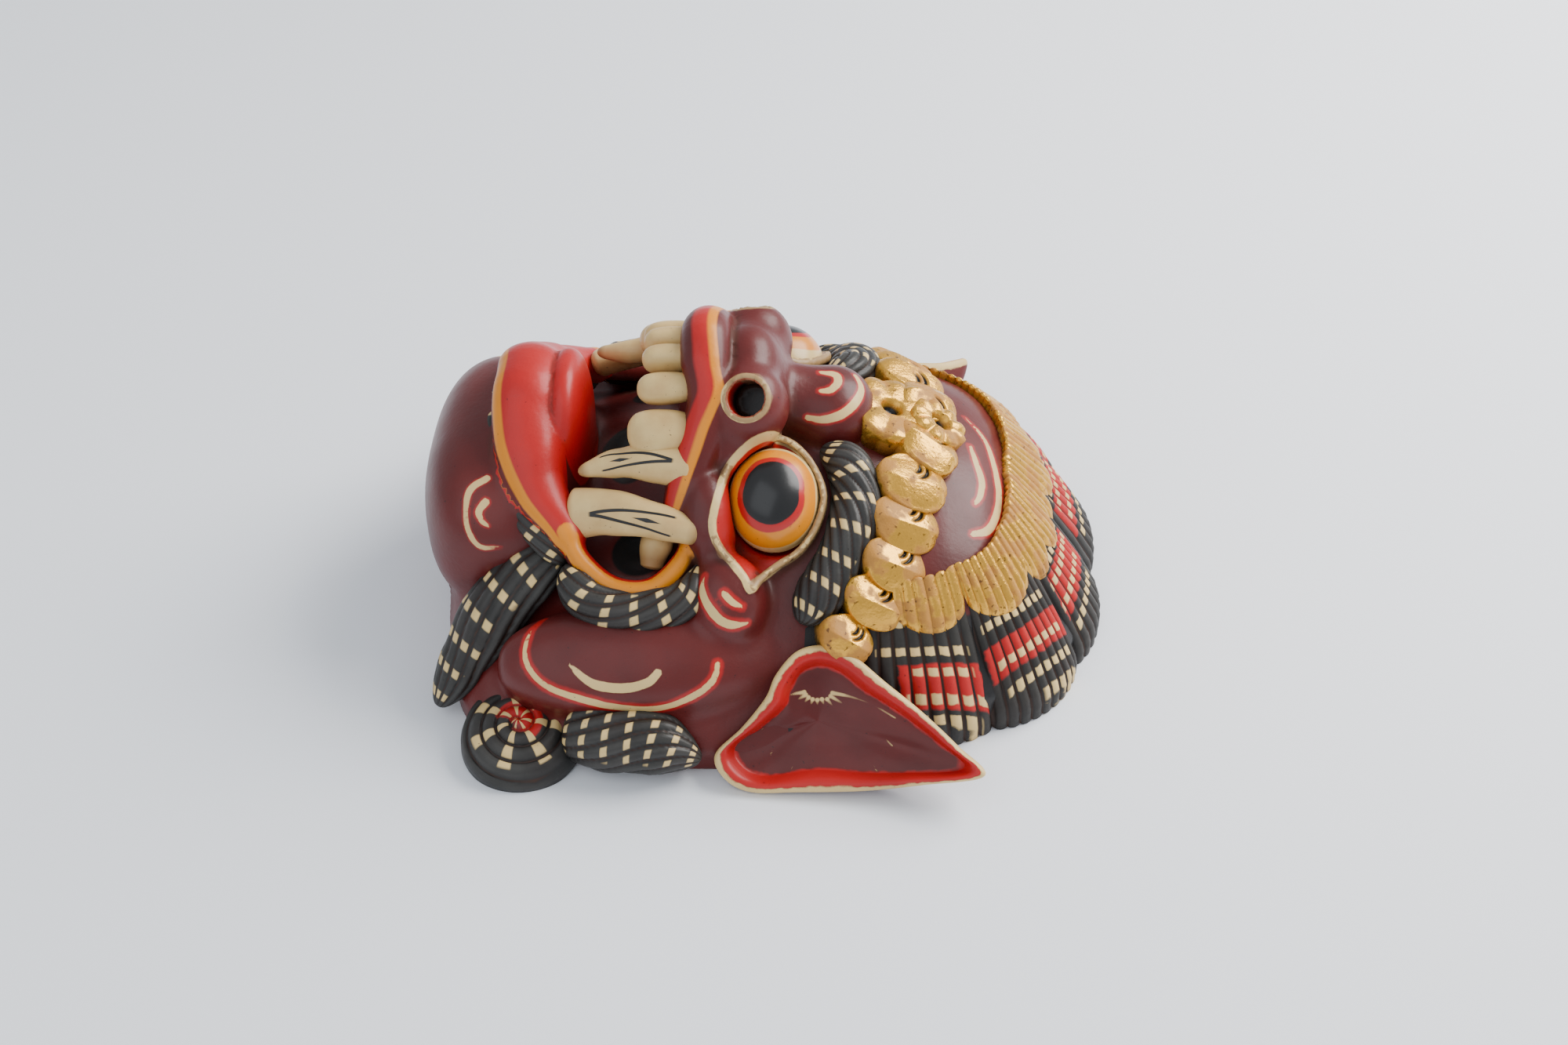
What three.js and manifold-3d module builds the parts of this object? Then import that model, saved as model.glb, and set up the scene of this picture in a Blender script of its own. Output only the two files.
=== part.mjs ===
// A carved barong mask: one block of wood, lying face up on the rim of its hollow back.
// Millimetres. +X runs to the crown and -X to the chin, +Z out through the nose, and Y = 0 is the
// plane of symmetry. Z = 0 is the plane that the rim rests on.
import * as THREE from "three";
import { mergeVertices } from "three/addons/utils/BufferGeometryUtils.js";
import Module from "manifold-3d";

const wasm = await Module();
wasm.setup();

// Driving dimensions.
const CROWN_X = 110;
const CHIN_X = -110;
const RIM_HEIGHT = 7;
const HAIR_FLUTES = 34;
const SCALLOP_COLUMNS = 5;
const FLUTE_DEPTH = 1.6;
const EAR_SLOPE = THREE.MathUtils.degToRad(50);
const EAR_THICKNESS = 9;
const EAR_RIM = 5;
const EAR_DISH = 5;
const NOSTRIL_RADIUS = 5.6;

const v3 = (p) => new THREE.Vector3(...p);

// ---------- making solids ----------

// A closed three.js geometry as a manifold solid.
function solidOf(geometry) {
  geometry.deleteAttribute("normal");
  geometry.deleteAttribute("uv");
  const merged = mergeVertices(geometry, 1e-4);
  const made = new wasm.Manifold(
    new wasm.Mesh({
      numProp: 3,
      vertProperties: merged.attributes.position.array,
      triVerts: new Uint32Array(merged.index.array),
    }),
  );
  if (made.volume() <= 0) throw new Error("a form is inside out");
  return made;
}

// Rings of points, closed by a pole at each end, as one skin.
function skinOfRings(rings, firstPole, lastPole) {
  const sides = rings[0].length;
  const points = [firstPole, ...rings.flat(), lastPole];
  const last = points.length - 1;
  const faces = [];
  for (let j = 0; j < sides; j++) {
    const k = (j + 1) % sides;
    faces.push(0, 1 + k, 1 + j);
    faces.push(last, last - sides + j, last - sides + k);
    for (let i = 0; i < rings.length - 1; i++) {
      const a = 1 + i * sides;
      const b = a + sides;
      faces.push(a + j, a + k, b + j);
      faces.push(a + k, b + k, b + j);
    }
  }
  const geometry = new THREE.BufferGeometry().setFromPoints(points);
  geometry.setIndex(faces);
  return geometry;
}

// An ellipsoid, turned about X, Y and Z in degrees; above 2, power squares it up.
function blob(centre, radii, turn = [0, 0, 0], detail = 2, power = 2) {
  const geometry = new THREE.IcosahedronGeometry(1, detail);
  const position = geometry.attributes.position;
  const p = new THREE.Vector3();
  for (let i = 0; i < position.count; i++) {
    p.fromBufferAttribute(position, i);
    const size = (Math.abs(p.x) ** power + Math.abs(p.y) ** power + Math.abs(p.z) ** power) ** (1 / power);
    position.setXYZ(i, p.x / size, p.y / size, p.z / size);
  }
  const angles = turn.map(THREE.MathUtils.degToRad);
  geometry.scale(...radii);
  geometry.applyMatrix4(new THREE.Matrix4().makeRotationFromEuler(new THREE.Euler(...angles)));
  geometry.translate(...centre);
  return solidOf(geometry);
}

// A tooth: a block whose faces swell and whose corners are rounded.
function tooth(centre, size, turn) {
  const geometry = new THREE.BoxGeometry(2, 2, 2, 2, 2, 2);
  const position = geometry.attributes.position;
  const p = new THREE.Vector3();
  for (let i = 0; i < position.count; i++) {
    p.fromBufferAttribute(position, i);
    p.multiplyScalar(0.45 + 0.62 / p.length());
    position.setXYZ(i, p.x, p.y, p.z);
  }
  const angles = turn.map(THREE.MathUtils.degToRad);
  geometry.scale(size[0] / 2, size[1] / 2, size[2] / 2);
  geometry.applyMatrix4(new THREE.Matrix4().makeRotationFromEuler(new THREE.Euler(...angles)));
  geometry.translate(...centre);
  return solidOf(geometry);
}

// A value that runs smoothly through a list of numbers, t from 0 to 1.
function along(list, t) {
  const at = t * (list.length - 1);
  const i = Math.min(Math.floor(at), list.length - 2);
  return THREE.MathUtils.lerp(list[i], list[i + 1], THREE.MathUtils.smoothstep(at - i, 0, 1));
}

// A roll or lock swept through points. Its section is an ellipse, widths across and heights up from the
// face, with optional flutes along it or ridges across it.
function roll(points, widths, heights, options = {}) {
  const { sides = 8, steps = 10, lean = [0, 0, 1], flutes = 0, ridges = 0, relief = 0.1 } = options;
  const curve = new THREE.CatmullRomCurve3(points.map(v3), false, "centripetal");
  const up = v3(lean).normalize();
  const rings = [];
  for (let i = 0; i < steps; i++) {
    const t = (i + 0.5) / steps;
    const centre = curve.getPoint(t);
    const tangent = curve.getTangent(t);
    const across = new THREE.Vector3().crossVectors(up, tangent).normalize();
    const out = new THREE.Vector3().crossVectors(tangent, across);
    const swell = ridges ? 1 - relief * (i % 2) : 1;
    const ring = [];
    for (let j = 0; j < sides; j++) {
      const angle = (j / sides) * 2 * Math.PI;
      const cut = flutes ? 1 - relief * (j % 2) : 1;
      const y = Math.cos(angle) * along(widths, t) * swell * cut;
      const z = Math.sin(angle) * along(heights, t) * swell * cut;
      ring.push(centre.clone().addScaledVector(across, y).addScaledVector(out, z));
    }
    rings.push(ring);
  }
  return solidOf(skinOfRings(rings, curve.getPoint(0), curve.getPoint(1)));
}

const mirrored = (solid) => solid.mirror([0, 1, 0]);
const both = (solids) => solids.flatMap((solid) => [solid, mirrored(solid)]);

// ---------- the block ----------

// Stations along X: position, half width on the table, height on the plane of symmetry.
const BLOCK = [
  [-102, 34, 24],
  [-93, 68, 38],
  [-76, 81, 47],
  [-46, 88, 53],
  [-12, 88, 63],
  [16, 84, 70],
  [40, 70, 66],
  [62, 46, 50],
  [80, 28, 30],
];

// The mass behind the features: an arch over each station, steeper than an ellipse at its foot.
function block() {
  const arch = 8;
  const rings = BLOCK.map(([x, half, height]) => {
    const ring = [new THREE.Vector3(x, -half, 0), new THREE.Vector3(x, half, 0)];
    for (let i = 0; i <= arch; i++) {
      const u = Math.cos((i / arch) * Math.PI);
      const rise = (1 - Math.abs(u) ** 1.6) ** 0.77;
      ring.push(new THREE.Vector3(x, half * u, RIM_HEIGHT + (height - RIM_HEIGHT) * rise));
    }
    return ring;
  });
  const first = new THREE.Vector3(BLOCK[0][0], 0, RIM_HEIGHT);
  const last = new THREE.Vector3(BLOCK[BLOCK.length - 1][0], 0, RIM_HEIGHT);
  return solidOf(skinOfRings(rings, first, last));
}

// The hollow that takes a face, open below.
function hollow() {
  const geometry = new THREE.SphereGeometry(1, 20, 10);
  geometry.rotateX(Math.PI / 2);
  geometry.scale(90, 74, 58);
  geometry.translate(4, 0, -6);
  return solidOf(geometry);
}

// ---------- hair ----------

// The fan of hair round the crown: flutes in scalloped locks, over a slope that ends in a thick rim.
// A gilded collar with a scalloped edge lies on its upper part.
const HAIR_CENTRE_X = 28;
const HAIR_REACH = 102; // degrees to each side of the crown
const HAIR_LOCKS = [-102, -59, -28, 0, 28, 59, 102];

// Distance from the fan's centre to the rim at an angle from the crown.
function hairRadius(angle) {
  const c = Math.abs(Math.cos(angle)) / (CROWN_X - HAIR_CENTRE_X);
  const s = Math.abs(Math.sin(angle)) / 80;
  return (c ** 2.5 + s ** 2.5) ** (-1 / 2.5);
}

// 0 at the edge of a lock and 1 at its middle.
function lockRise(degrees) {
  const i = Math.max(HAIR_LOCKS.findIndex((edge) => edge > degrees), 1);
  const share = (degrees - HAIR_LOCKS[i - 1]) / (HAIR_LOCKS[i] - HAIR_LOCKS[i - 1]);
  return Math.sin(Math.PI * THREE.MathUtils.clamp(share, 0, 1)) ** 0.5;
}

// A point on the fan at a share of the way out; side and crown are its heights at those places.
function hairPoint(degrees, share, side, crown, flute) {
  const angle = THREE.MathUtils.degToRad(degrees);
  const dip = (1 - lockRise(degrees)) * share ** 4;
  const radius = hairRadius(angle) * share * (1 - 0.05 * dip);
  const height = THREE.MathUtils.lerp(crown, side, Math.min(Math.abs(degrees) / 70, 1));
  return new THREE.Vector3(
    HAIR_CENTRE_X + radius * Math.cos(angle),
    radius * Math.sin(angle),
    height - flute - (share > 0.85 && share < 1 ? 3 * dip : 0),
  );
}

function hair() {
  const columns = HAIR_FLUTES * 2;
  const ring = (point) => {
    const points = [];
    for (let i = 0; i <= columns; i++) {
      const degrees = HAIR_REACH * ((2 * i) / columns - 1);
      const scallop = Math.sin(((i % SCALLOP_COLUMNS) / SCALLOP_COLUMNS) * Math.PI);
      points.push(point(degrees, 0.75 + 0.055 * scallop, i % 2 ? FLUTE_DEPTH : 0));
    }
    return points;
  };
  const collar = (share) => 45 - 105 * (share - 0.75);
  const rings = [
    ring((d) => hairPoint(d, 0.6, 56, 52, 0)),
    ring((d, edge) => hairPoint(d, edge, collar(edge), collar(edge) - 4, 0)),
    ring((d, edge, cut) => hairPoint(d, edge + 0.008, collar(edge) - 4, collar(edge) - 8, cut * 0.5)),
    ring((d, edge, cut) => hairPoint(d, 0.985, 10, 8, cut)),
    ring((d) => hairPoint(d, 1, 6, 5, 0)),
  ];
  const feet = rings[4].map((p) => new THREE.Vector3(p.x - 0.6, p.y * 0.99, 0));
  const top = new THREE.Vector3(HAIR_CENTRE_X, 0, 56);
  const foot = new THREE.Vector3(HAIR_CENTRE_X, 0, 0);
  return solidOf(skinOfRings([...rings, feet].reverse(), foot, top));
}

// ---------- ears ----------

// Rim of an ear, from its root round under the lobe to the tip and back over the top.
const EAR_RIM_LINE = [
  [-13, -91, 10],
  [-10, -96, 5],
  [-2, -98.5, 2],
  [12, -99, 3],
  [32, -99.5, 5],
  [50, -100, 9],
  [68, -101, 15],
  [60, -93, 19],
  [49, -85, 25],
  [38, -78, 30],
  [28, -72, 35],
  [19, -70, 37],
  [11, -72, 36],
  [5, -77, 31],
  [2, -82, 26],
  [-5, -87, 18],
];
const EAR_HEART = [18, -86, 20];

function ear() {
  const line = EAR_RIM_LINE.map(v3);
  const heart = v3(EAR_HEART);
  const out = new THREE.Vector3(0, -Math.sin(EAR_SLOPE), Math.cos(EAR_SLOPE));
  const ring = (inset, lift) =>
    line.map((p) => {
      const inward = heart.clone().sub(p).normalize();
      return p.clone().addScaledVector(inward, inset).addScaledVector(out, lift);
    });
  const rings = [ring(2, -EAR_THICKNESS), ring(0, 0), ring(EAR_RIM - 1, 0), ring(EAR_RIM + 2, -EAR_DISH)];
  const back = heart.clone().addScaledVector(out, -EAR_THICKNESS - 1);
  const dish = heart.clone().addScaledVector(out, -EAR_DISH - 1);
  return solidOf(skinOfRings(rings, back, dish));
}

// ---------- locks and curls below the cheeks ----------

const sideLocks = () => [
  roll(
    [[-60, -41, 48], [-73, -47, 41], [-85, -55, 29], [-95, -63, 13], [-101, -68, 4]],
    [5, 8.5, 9, 7, 4],
    [4, 6, 7, 6, 4],
    { lean: [-0.5, -0.5, 0.7], sides: 8, steps: 5, flutes: 4, relief: 0.2 },
  ),
  roll(
    [[-58, -84, 8], [-46, -88, 9], [-32, -91, 9], [-16, -92, 6]],
    [10, 10, 9, 3],
    [8, 9, 8, 4],
    { lean: [0, -0.4, 0.9], sides: 8, steps: 5, flutes: 4, relief: 0.2 },
  ),
];

// A coiled curl: a low puck with rounds cut into its top like a shell's.
function curl() {
  const profile = [
    [0, 0], [18, 0], [19, 6], [16, 13], [12.8, 11.5],
    [9.5, 15], [7.2, 12.6], [4, 15.6], [0, 15.8],
  ];
  const points = profile.map(([r, z]) => new THREE.Vector2(r, z));
  const geometry = new THREE.LatheGeometry(points, 12);
  geometry.rotateX(Math.PI / 2);
  geometry.rotateX(THREE.MathUtils.degToRad(12));
  geometry.translate(-73, -80, 0);
  return solidOf(geometry);
}

// ---------- face ----------

const forms = () => [
  // chin, the bump over the nose, the forehead dome
  blob([-83, 0, 40], [26.33, 45, 31], [0, 0, 0], 3, 2.6),
  blob([20, 0, 71], [13.5, 15, 14], [0, 0, 0], 2),
  blob([47, 0, 17], [38, 63, 49], [0, 22, 0], 3, 2.4),
  // jaw behind the lower lip, muzzle under the nose
  blob([-72, 0, 54], [13, 35, 27], [0, 0, 0], 1, 2.6),
  blob([-12, 0, 55], [17, 33, 36], [0, 0, 0], 2, 2.6),
  // nose
  blob([-6, 0, 84], [12, 17, 18], [0, 0, 0], 2),
  blob([7, 0, 76], [12, 12, 10], [0, 0, 0], 1),
];

const tongue = () => blob([-58, 0, 60], [8, 25, 27], [0, 0, 0], 2);

const sideForms = () => [
  // cheek, fold beside the nose, pouch under the eye's outer corner, wing of the nose
  blob([-38, -74, 22], [40, 17, 14], [36, 0, 4], 2),
  blob([-17, -38, 60], [9, 16, 11], [45, 0, 8], 1),
  blob([-11, -59, 44], [11, 12, 10], [40, 0, 0], 1),
  blob([-5, -16, 86], [12, 12, 13], [0, 0, 0], 1),
];

// ---------- eyes and brows ----------

const eyes = () => [
  blob([3, -33, 62], [14, 16, 14], [40, 0, 0], 2),
  // eyelids: a ring drawn out to a point at the outer corner
  roll(
    [[3, -19, 73], [14, -24, 69], [17, -36, 61], [13, -48, 54], [-1, -58, 49]],
    [2.4, 2.4, 2.4, 2.4, 2.4],
    [4, 4, 4, 4, 4],
    { sides: 4, steps: 5, lean: [0, -0.7, 0.7] },
  ),
  roll(
    [[3, -19, 73], [-9, -23, 70], [-14, -35, 62], [-11, -48, 54], [-1, -58, 49]],
    [2.4, 2.4, 2.4, 2.4, 2.4],
    [4, 4, 4, 4, 4],
    { sides: 4, steps: 5, lean: [0, -0.7, 0.7] },
  ),
];

const BROW = [[17, -17, 70], [25, -23, 68], [28, -32, 63], [26, -43, 57], [21, -52, 49], [12, -64, 40]];

const brow = () =>
  roll(BROW, [5, 7.5, 8, 7.5, 8, 6], [5, 7, 7, 6.5, 7, 5], {
    sides: 5,
    steps: 13,
    lean: [0, -0.5, 0.85],
    ridges: 1,
    relief: 0.2,
  });

// ---------- mouth ----------

const LOWER_LIP = [[-74, 8, 80], [-75, -4, 82], [-75, -13, 77], [-73, -23, 69], [-68, -33, 61], [-60, -42, 54]];
const CORNER = [[-60, -44, 53], [-55, -52, 46], [-45, -58, 40], [-33, -58, 40], [-24, -51, 47], [-24, -43, 53]];
const UPPER_LIP = [[-19, 9, 97], [-19, -2, 101], [-18, -11, 95], [-17, -18, 87], [-20, -26, 77], [-28, -42, 58]];

const mouth = () => [
  roll(LOWER_LIP, [8, 9, 9, 8, 6], [7, 8, 8, 7, 6], { sides: 7, steps: 6 }),
  roll(CORNER, [3.5, 3.5, 3.5, 3.5, 3.5, 3], [5, 5, 5, 5, 5, 4], { sides: 4, steps: 7, lean: [0, -0.7, 0.7] }),
  roll(UPPER_LIP, [7, 7.5, 7, 7, 6, 4], [7, 8, 8, 7, 6, 4], { sides: 6, steps: 6 }),
  // beard along the lip, then the ridged whisker below the corner of the mouth
  roll([[-88, 6, 61], [-87, -12, 59], [-80, -27, 54], [-69, -40, 49], [-58, -51, 43]],
    [4, 4, 4, 4, 4], [4, 4, 4, 4, 4], { sides: 5, steps: 5 }),
  roll([[-60, -52, 41], [-53, -61, 35], [-43, -66, 32], [-31, -66, 33], [-21, -60, 39], [-17, -51, 47]],
    [5, 6.5, 6.5, 6.5, 6, 3], [5, 6.5, 6.5, 6.5, 6, 3],
    { sides: 5, steps: 11, lean: [0, -0.7, 0.7], ridges: 1, relief: 0.2 }),
];

// Teeth from the middle outwards: centre, size, turn.
const teeth = () => [
  tooth([-31, -4, 94], [23, 8, 11], [8, 0, 0]),
  tooth([-31, -12.5, 90], [23, 10, 11], [38, 0, 0]),
  tooth([-33, -21.5, 81], [24, 13, 12], [46, 0, 0]),
  // molar in the corner of the mouth
  roll([[-30, -38, 58], [-33, -44, 51], [-34, -48, 46]], [3, 5, 3.5], [3, 5, 3.5], { sides: 5, steps: 3 }),
];

const tusks = () => [
  roll([[-20, -31, 72], [-34, -29, 73], [-46, -28, 71], [-57, -30, 69]], [7, 6.5, 4.5, 2], [6, 5, 4, 2],
    { sides: 6, steps: 6, lean: [0, -0.7, 0.7] }),
  roll([[-60, -37, 58], [-48, -39, 61], [-34, -43, 62], [-18, -47, 60]], [8, 7, 5.5, 4], [4.5, 4.5, 4.5, 4],
    { sides: 6, steps: 6, lean: [0, -0.7, 0.7] }),
];

// ---------- gold crown ----------

// A leaf: a thin pad with a lobed edge. It is placed by its middle, half length and half width, the
// heading of its tip in degrees and how far it drops away forwards and sideways.
function leaf(middle, halfLength, halfWidth, heading, slope, fall) {
  const lobes = 4;
  const columns = lobes * 3;
  const turn = new THREE.Euler(...[fall, slope, heading].map((d) => THREE.MathUtils.degToRad(d)), "XYZ");
  const place = (angle, share, lift) => {
    const reach = share * (Math.round((angle / (2 * Math.PI)) * columns) % 3 ? 1.08 : 0.92);
    const p = new THREE.Vector3(Math.cos(angle) * halfLength * reach, Math.sin(angle) * halfWidth * reach, lift);
    return p.applyEuler(turn).add(v3(middle));
  };
  const ring = (share, lift) => {
    const points = [];
    for (let i = 0; i < columns; i++) points.push(place((i / columns) * 2 * Math.PI, share, lift));
    return points;
  };
  return solidOf(skinOfRings([ring(1, -7), ring(0.9, 3)], place(0, 0, -8), place(0, 0, 2)));
}

const sideLeaves = () => [
  leaf([45, -26, 64], 12, 9.5, -12, 26, 18),
  leaf([43, -38, 58], 11.5, 9, -20, 26, 30),
  leaf([40, -49, 51], 11, 8.5, -26, 26, 38),
  leaf([34, -58, 44], 10.5, 8, -32, 24, 45),
  leaf([26, -67, 37], 9, 7, -38, 22, 48),
  leaf([50, -11, 66], 11, 9, -30, 30, 6),
];

const flower = () => [leaf([38, 0, 71], 13, 14, 0, 20, 0), leaf([53, 0, 66], 10, 9, 0, 34, 0)];

// ---------- what is cut away ----------

// The gap between the tongue and the upper teeth, closed at its floor.
const mouthGap = () => [
  blob([-46, 0, 75], [15, 34, 25], [0, 0, 0], 2),
  ...both([blob([-41, -43, 56], [14, 13, 14], [0, 0, 0], 1)]),
];

function nostril() {
  const geometry = new THREE.CylinderGeometry(NOSTRIL_RADIUS, NOSTRIL_RADIUS * 0.8, 26, 10);
  const axis = new THREE.Vector3(-0.15, -0.72, 0.68).normalize();
  const turn = new THREE.Quaternion().setFromUnitVectors(new THREE.Vector3(0, 1, 0), axis);
  geometry.applyQuaternion(turn);
  geometry.translate(-5.6, -21, 92);
  return solidOf(geometry);
}

// ---------- the whole mask ----------

const joined = (solids) => solids.reduce((whole, next) => whole.add(next));

function mask() {
  const mass = joined([block(), hair(), ...forms(), ...both(sideForms())]);
  const opened = mass.subtract(joined(mouthGap()));
  const features = [
    ...[ear(), curl(), brow(), ...sideLocks(), ...sideLeaves()],
    ...[...eyes(), ...mouth(), ...teeth(), ...tusks()],
  ];
  const carved = joined([opened, ...both(features), ...flower(), tongue()]);
  const hollowed = carved.subtract(joined([hollow(), ...both([nostril()])]));
  return hollowed.trimByPlane([0, 0, 1], 0);
}

function geometryOf(solid) {
  const mesh = solid.getMesh();
  const geometry = new THREE.BufferGeometry();
  const position = new Float32Array(mesh.numVert * 3);
  for (let i = 0; i < mesh.numVert; i++) {
    position.set(mesh.vertProperties.subarray(i * mesh.numProp, i * mesh.numProp + 3), i * 3);
  }
  geometry.setAttribute("position", new THREE.BufferAttribute(position, 3));
  geometry.setIndex(new THREE.BufferAttribute(mesh.triVerts, 1));
  geometry.computeVertexNormals();
  return geometry;
}

const paintedWood = new THREE.MeshStandardMaterial({ color: 0x5e2a26, roughness: 0.4, metalness: 0 });
const wood = new THREE.Mesh(geometryOf(mask()), paintedWood);
wood.name = "mask";

const part = new THREE.Group();
part.add(wood);

export default part;
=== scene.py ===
# %% [markdown]
# # A carved barong mask
# The real mask is one block of light wood. A carver cuts the hollow for the face, the features and the
# flutes of the hair, then it gets a chalk ground, lacquer paint, brush strokes and gold leaf. This
# lesson follows the same order: the block is carved first, then the locks, leaves, teeth and eyes,
# and the paint comes last.

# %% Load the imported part
import math

import bmesh
import bpy
import numpy as np
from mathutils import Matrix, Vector


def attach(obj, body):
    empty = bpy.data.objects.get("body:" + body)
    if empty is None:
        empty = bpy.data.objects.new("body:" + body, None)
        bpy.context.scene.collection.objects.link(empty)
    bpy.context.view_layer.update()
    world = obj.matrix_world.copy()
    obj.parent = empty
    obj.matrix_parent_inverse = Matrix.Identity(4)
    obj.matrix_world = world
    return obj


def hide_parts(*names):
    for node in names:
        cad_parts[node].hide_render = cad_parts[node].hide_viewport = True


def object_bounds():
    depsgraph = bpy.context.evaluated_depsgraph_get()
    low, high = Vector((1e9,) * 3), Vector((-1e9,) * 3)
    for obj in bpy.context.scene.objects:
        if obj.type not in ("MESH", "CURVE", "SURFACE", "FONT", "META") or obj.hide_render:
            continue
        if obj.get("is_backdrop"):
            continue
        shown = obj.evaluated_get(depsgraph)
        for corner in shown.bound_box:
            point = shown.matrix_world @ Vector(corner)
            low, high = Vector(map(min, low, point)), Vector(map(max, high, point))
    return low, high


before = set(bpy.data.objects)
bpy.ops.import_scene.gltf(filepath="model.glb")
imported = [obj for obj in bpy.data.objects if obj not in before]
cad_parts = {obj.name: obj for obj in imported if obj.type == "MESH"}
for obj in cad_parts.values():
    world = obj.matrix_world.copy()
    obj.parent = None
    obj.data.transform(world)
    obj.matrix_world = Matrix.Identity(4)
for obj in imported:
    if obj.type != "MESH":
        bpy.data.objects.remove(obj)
cad_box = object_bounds()
MM = 0.001
print("CAD box, mm:", [[round(value / MM, 1) for value in corner] for corner in cad_box])

# %% [markdown]
# ## Camera, floor and light
# The mask lies on its hollow back on a pale table, seen from one ear and well above it. A large soft
# window stands to the right of the crown, so the camera, the floor and the lights are set first and
# every piece is judged in them.

# %% Camera, floor and light
def camera_from(position, looking_along, lens):
    data = bpy.data.cameras.new("camera")
    data.lens = lens
    data.sensor_width = 36
    data.clip_start = 0.01
    camera = bpy.data.objects.new("camera", data)
    bpy.context.scene.collection.objects.link(camera)
    camera.location = position
    camera.rotation_mode = "QUATERNION"
    camera.rotation_quaternion = Vector(looking_along).to_track_quat("-Z", "Y")
    bpy.context.scene.camera = camera


def soft_light(name, position, target, size, power, colour):
    data = bpy.data.lights.new(name, "AREA")
    data.shape = "RECTANGLE"
    data.size, data.size_y = size
    data.energy = power
    data.color = colour
    light = bpy.data.objects.new(name, data)
    bpy.context.scene.collection.objects.link(light)
    light.location = position
    light.rotation_mode = "QUATERNION"
    light.rotation_quaternion = (Vector(target) - Vector(position)).to_track_quat("-Z", "Y")


turn, tilt, distance = math.radians(2.0), math.radians(42.0), 0.750
looking = (-math.sin(turn) * math.cos(tilt), math.cos(turn) * math.cos(tilt), -math.sin(tilt))
aimed_at = np.array((0.00393, 0.0259, 0.0))
camera_from(aimed_at - distance * np.array(looking), looking, 50)
soft_light("window", (0.75, 0.35, 0.75), (0, 0, 0.03), (0.9, 0.7), 24.0, (1.0, 0.98, 0.95))
soft_light("room", (-0.5, -0.7, 0.8), (0, 0, 0.03), (1.2, 1.2), 5.0, (0.92, 0.96, 1.0))

world = bpy.data.worlds.new("room light")
bpy.context.scene.world = world
world.use_nodes = True
world.node_tree.nodes["Background"].inputs["Color"].default_value = (0.90, 0.95, 1.0, 1)
world.node_tree.nodes["Background"].inputs["Strength"].default_value = 0.75

bpy.ops.mesh.primitive_plane_add(size=6)
floor = bpy.context.object
floor.name = "table_top"
paper = bpy.data.materials.new("pale_table")
paper.use_nodes = True
paper.node_tree.nodes["Principled BSDF"].inputs["Base Color"].default_value = (0.86, 0.88, 0.93, 1)
paper.node_tree.nodes["Principled BSDF"].inputs["Roughness"].default_value = 0.9
floor.data.materials.append(paper)
floor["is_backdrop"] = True

# %% [markdown]
# ## Curves that the carving follows
# Lips, lids, brows and locks all run along smooth curves. Each is given by a few points in
# millimetres on the mask's own left side, with the nose at Z up and the crown at +X; the right side
# mirrors it in Y.

# %% Curves that the carving follows
def smooth_line(points, count, closed=False):
    """Points evenly spaced on a smooth curve through the given ones."""
    p = np.asarray(points, float)
    if closed:
        p = np.vstack([p[-1], p, p[0], p[1]])
    else:
        p = np.vstack([2 * p[0] - p[1], p, 2 * p[-1] - p[-2]])
    t = np.linspace(0, 1, 24, endpoint=False)[:, None]
    spans = []
    for a, b, c, d in zip(p, p[1:], p[2:], p[3:]):
        spans.append(b + 0.5 * t * (c - a + t * (2 * a - 5 * b + 4 * c - d + t * (3 * (b - c) + d - a))))
    fine = np.vstack([*spans, p[-2]])
    walked = np.r_[0, np.cumsum(np.linalg.norm(np.diff(fine, axis=0), axis=1))]
    at = np.linspace(0, walked[-1], count + closed)[:count]
    return np.stack([np.interp(at, walked, fine[:, k]) for k in range(fine.shape[1])], 1)


def smooth_values(values, count):
    """Numbers evenly spaced along a list, running smoothly from one to the next."""
    at = np.linspace(0, len(values) - 1, count)
    low = np.minimum(at.astype(int), len(values) - 2)
    share = at - low
    share = share * share * (3 - 2 * share)
    values = np.asarray(values, float)
    return values[low] * (1 - share) + values[low + 1] * share


def unit(v):
    return v / np.maximum(np.linalg.norm(v, axis=-1, keepdims=True), 1e-9)


def mirrored(points):
    return np.asarray(points, float) * (1, -1, 1)


LOWER_LIP = [[-74, 8, 80], [-75, -4, 82], [-75, -13, 77], [-73, -23, 69], [-68, -33, 61], [-60, -42, 54]]
MOUTH_CORNER = [
    [-60, -42, 55], [-55, -49, 49], [-45, -54.5, 44], [-33, -54.5, 44], [-24, -48, 50], [-23, -41, 55],
]
UPPER_LIP = [[-19, 9, 96], [-19, -2, 99], [-18, -11, 94], [-17, -18, 87], [-20, -26, 77], [-28, -42, 58]]

# %% [markdown]
# ## The block as a field of distances
# Carved wood flows from one form into the next, which stacked spheres and tubes can't do. So each
# form is a function that says how far a point is from its skin, less than zero inside. Two forms
# are joined by the smaller of their distances, with a little rounding where they meet, as a gouge
# leaves it, and a hollow is cut by the larger of one and the other turned inside out.

# %% Forms as distances
MARGIN = 7.0


def turned(degrees):
    x, y, z = np.radians(degrees)
    about_x = np.array([[1, 0, 0], [0, math.cos(x), -math.sin(x)], [0, math.sin(x), math.cos(x)]])
    about_y = np.array([[math.cos(y), 0, math.sin(y)], [0, 1, 0], [-math.sin(y), 0, math.cos(y)]])
    about_z = np.array([[math.cos(z), -math.sin(z), 0], [math.sin(z), math.cos(z), 0], [0, 0, 1]])
    return about_x @ about_y @ about_z


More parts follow.
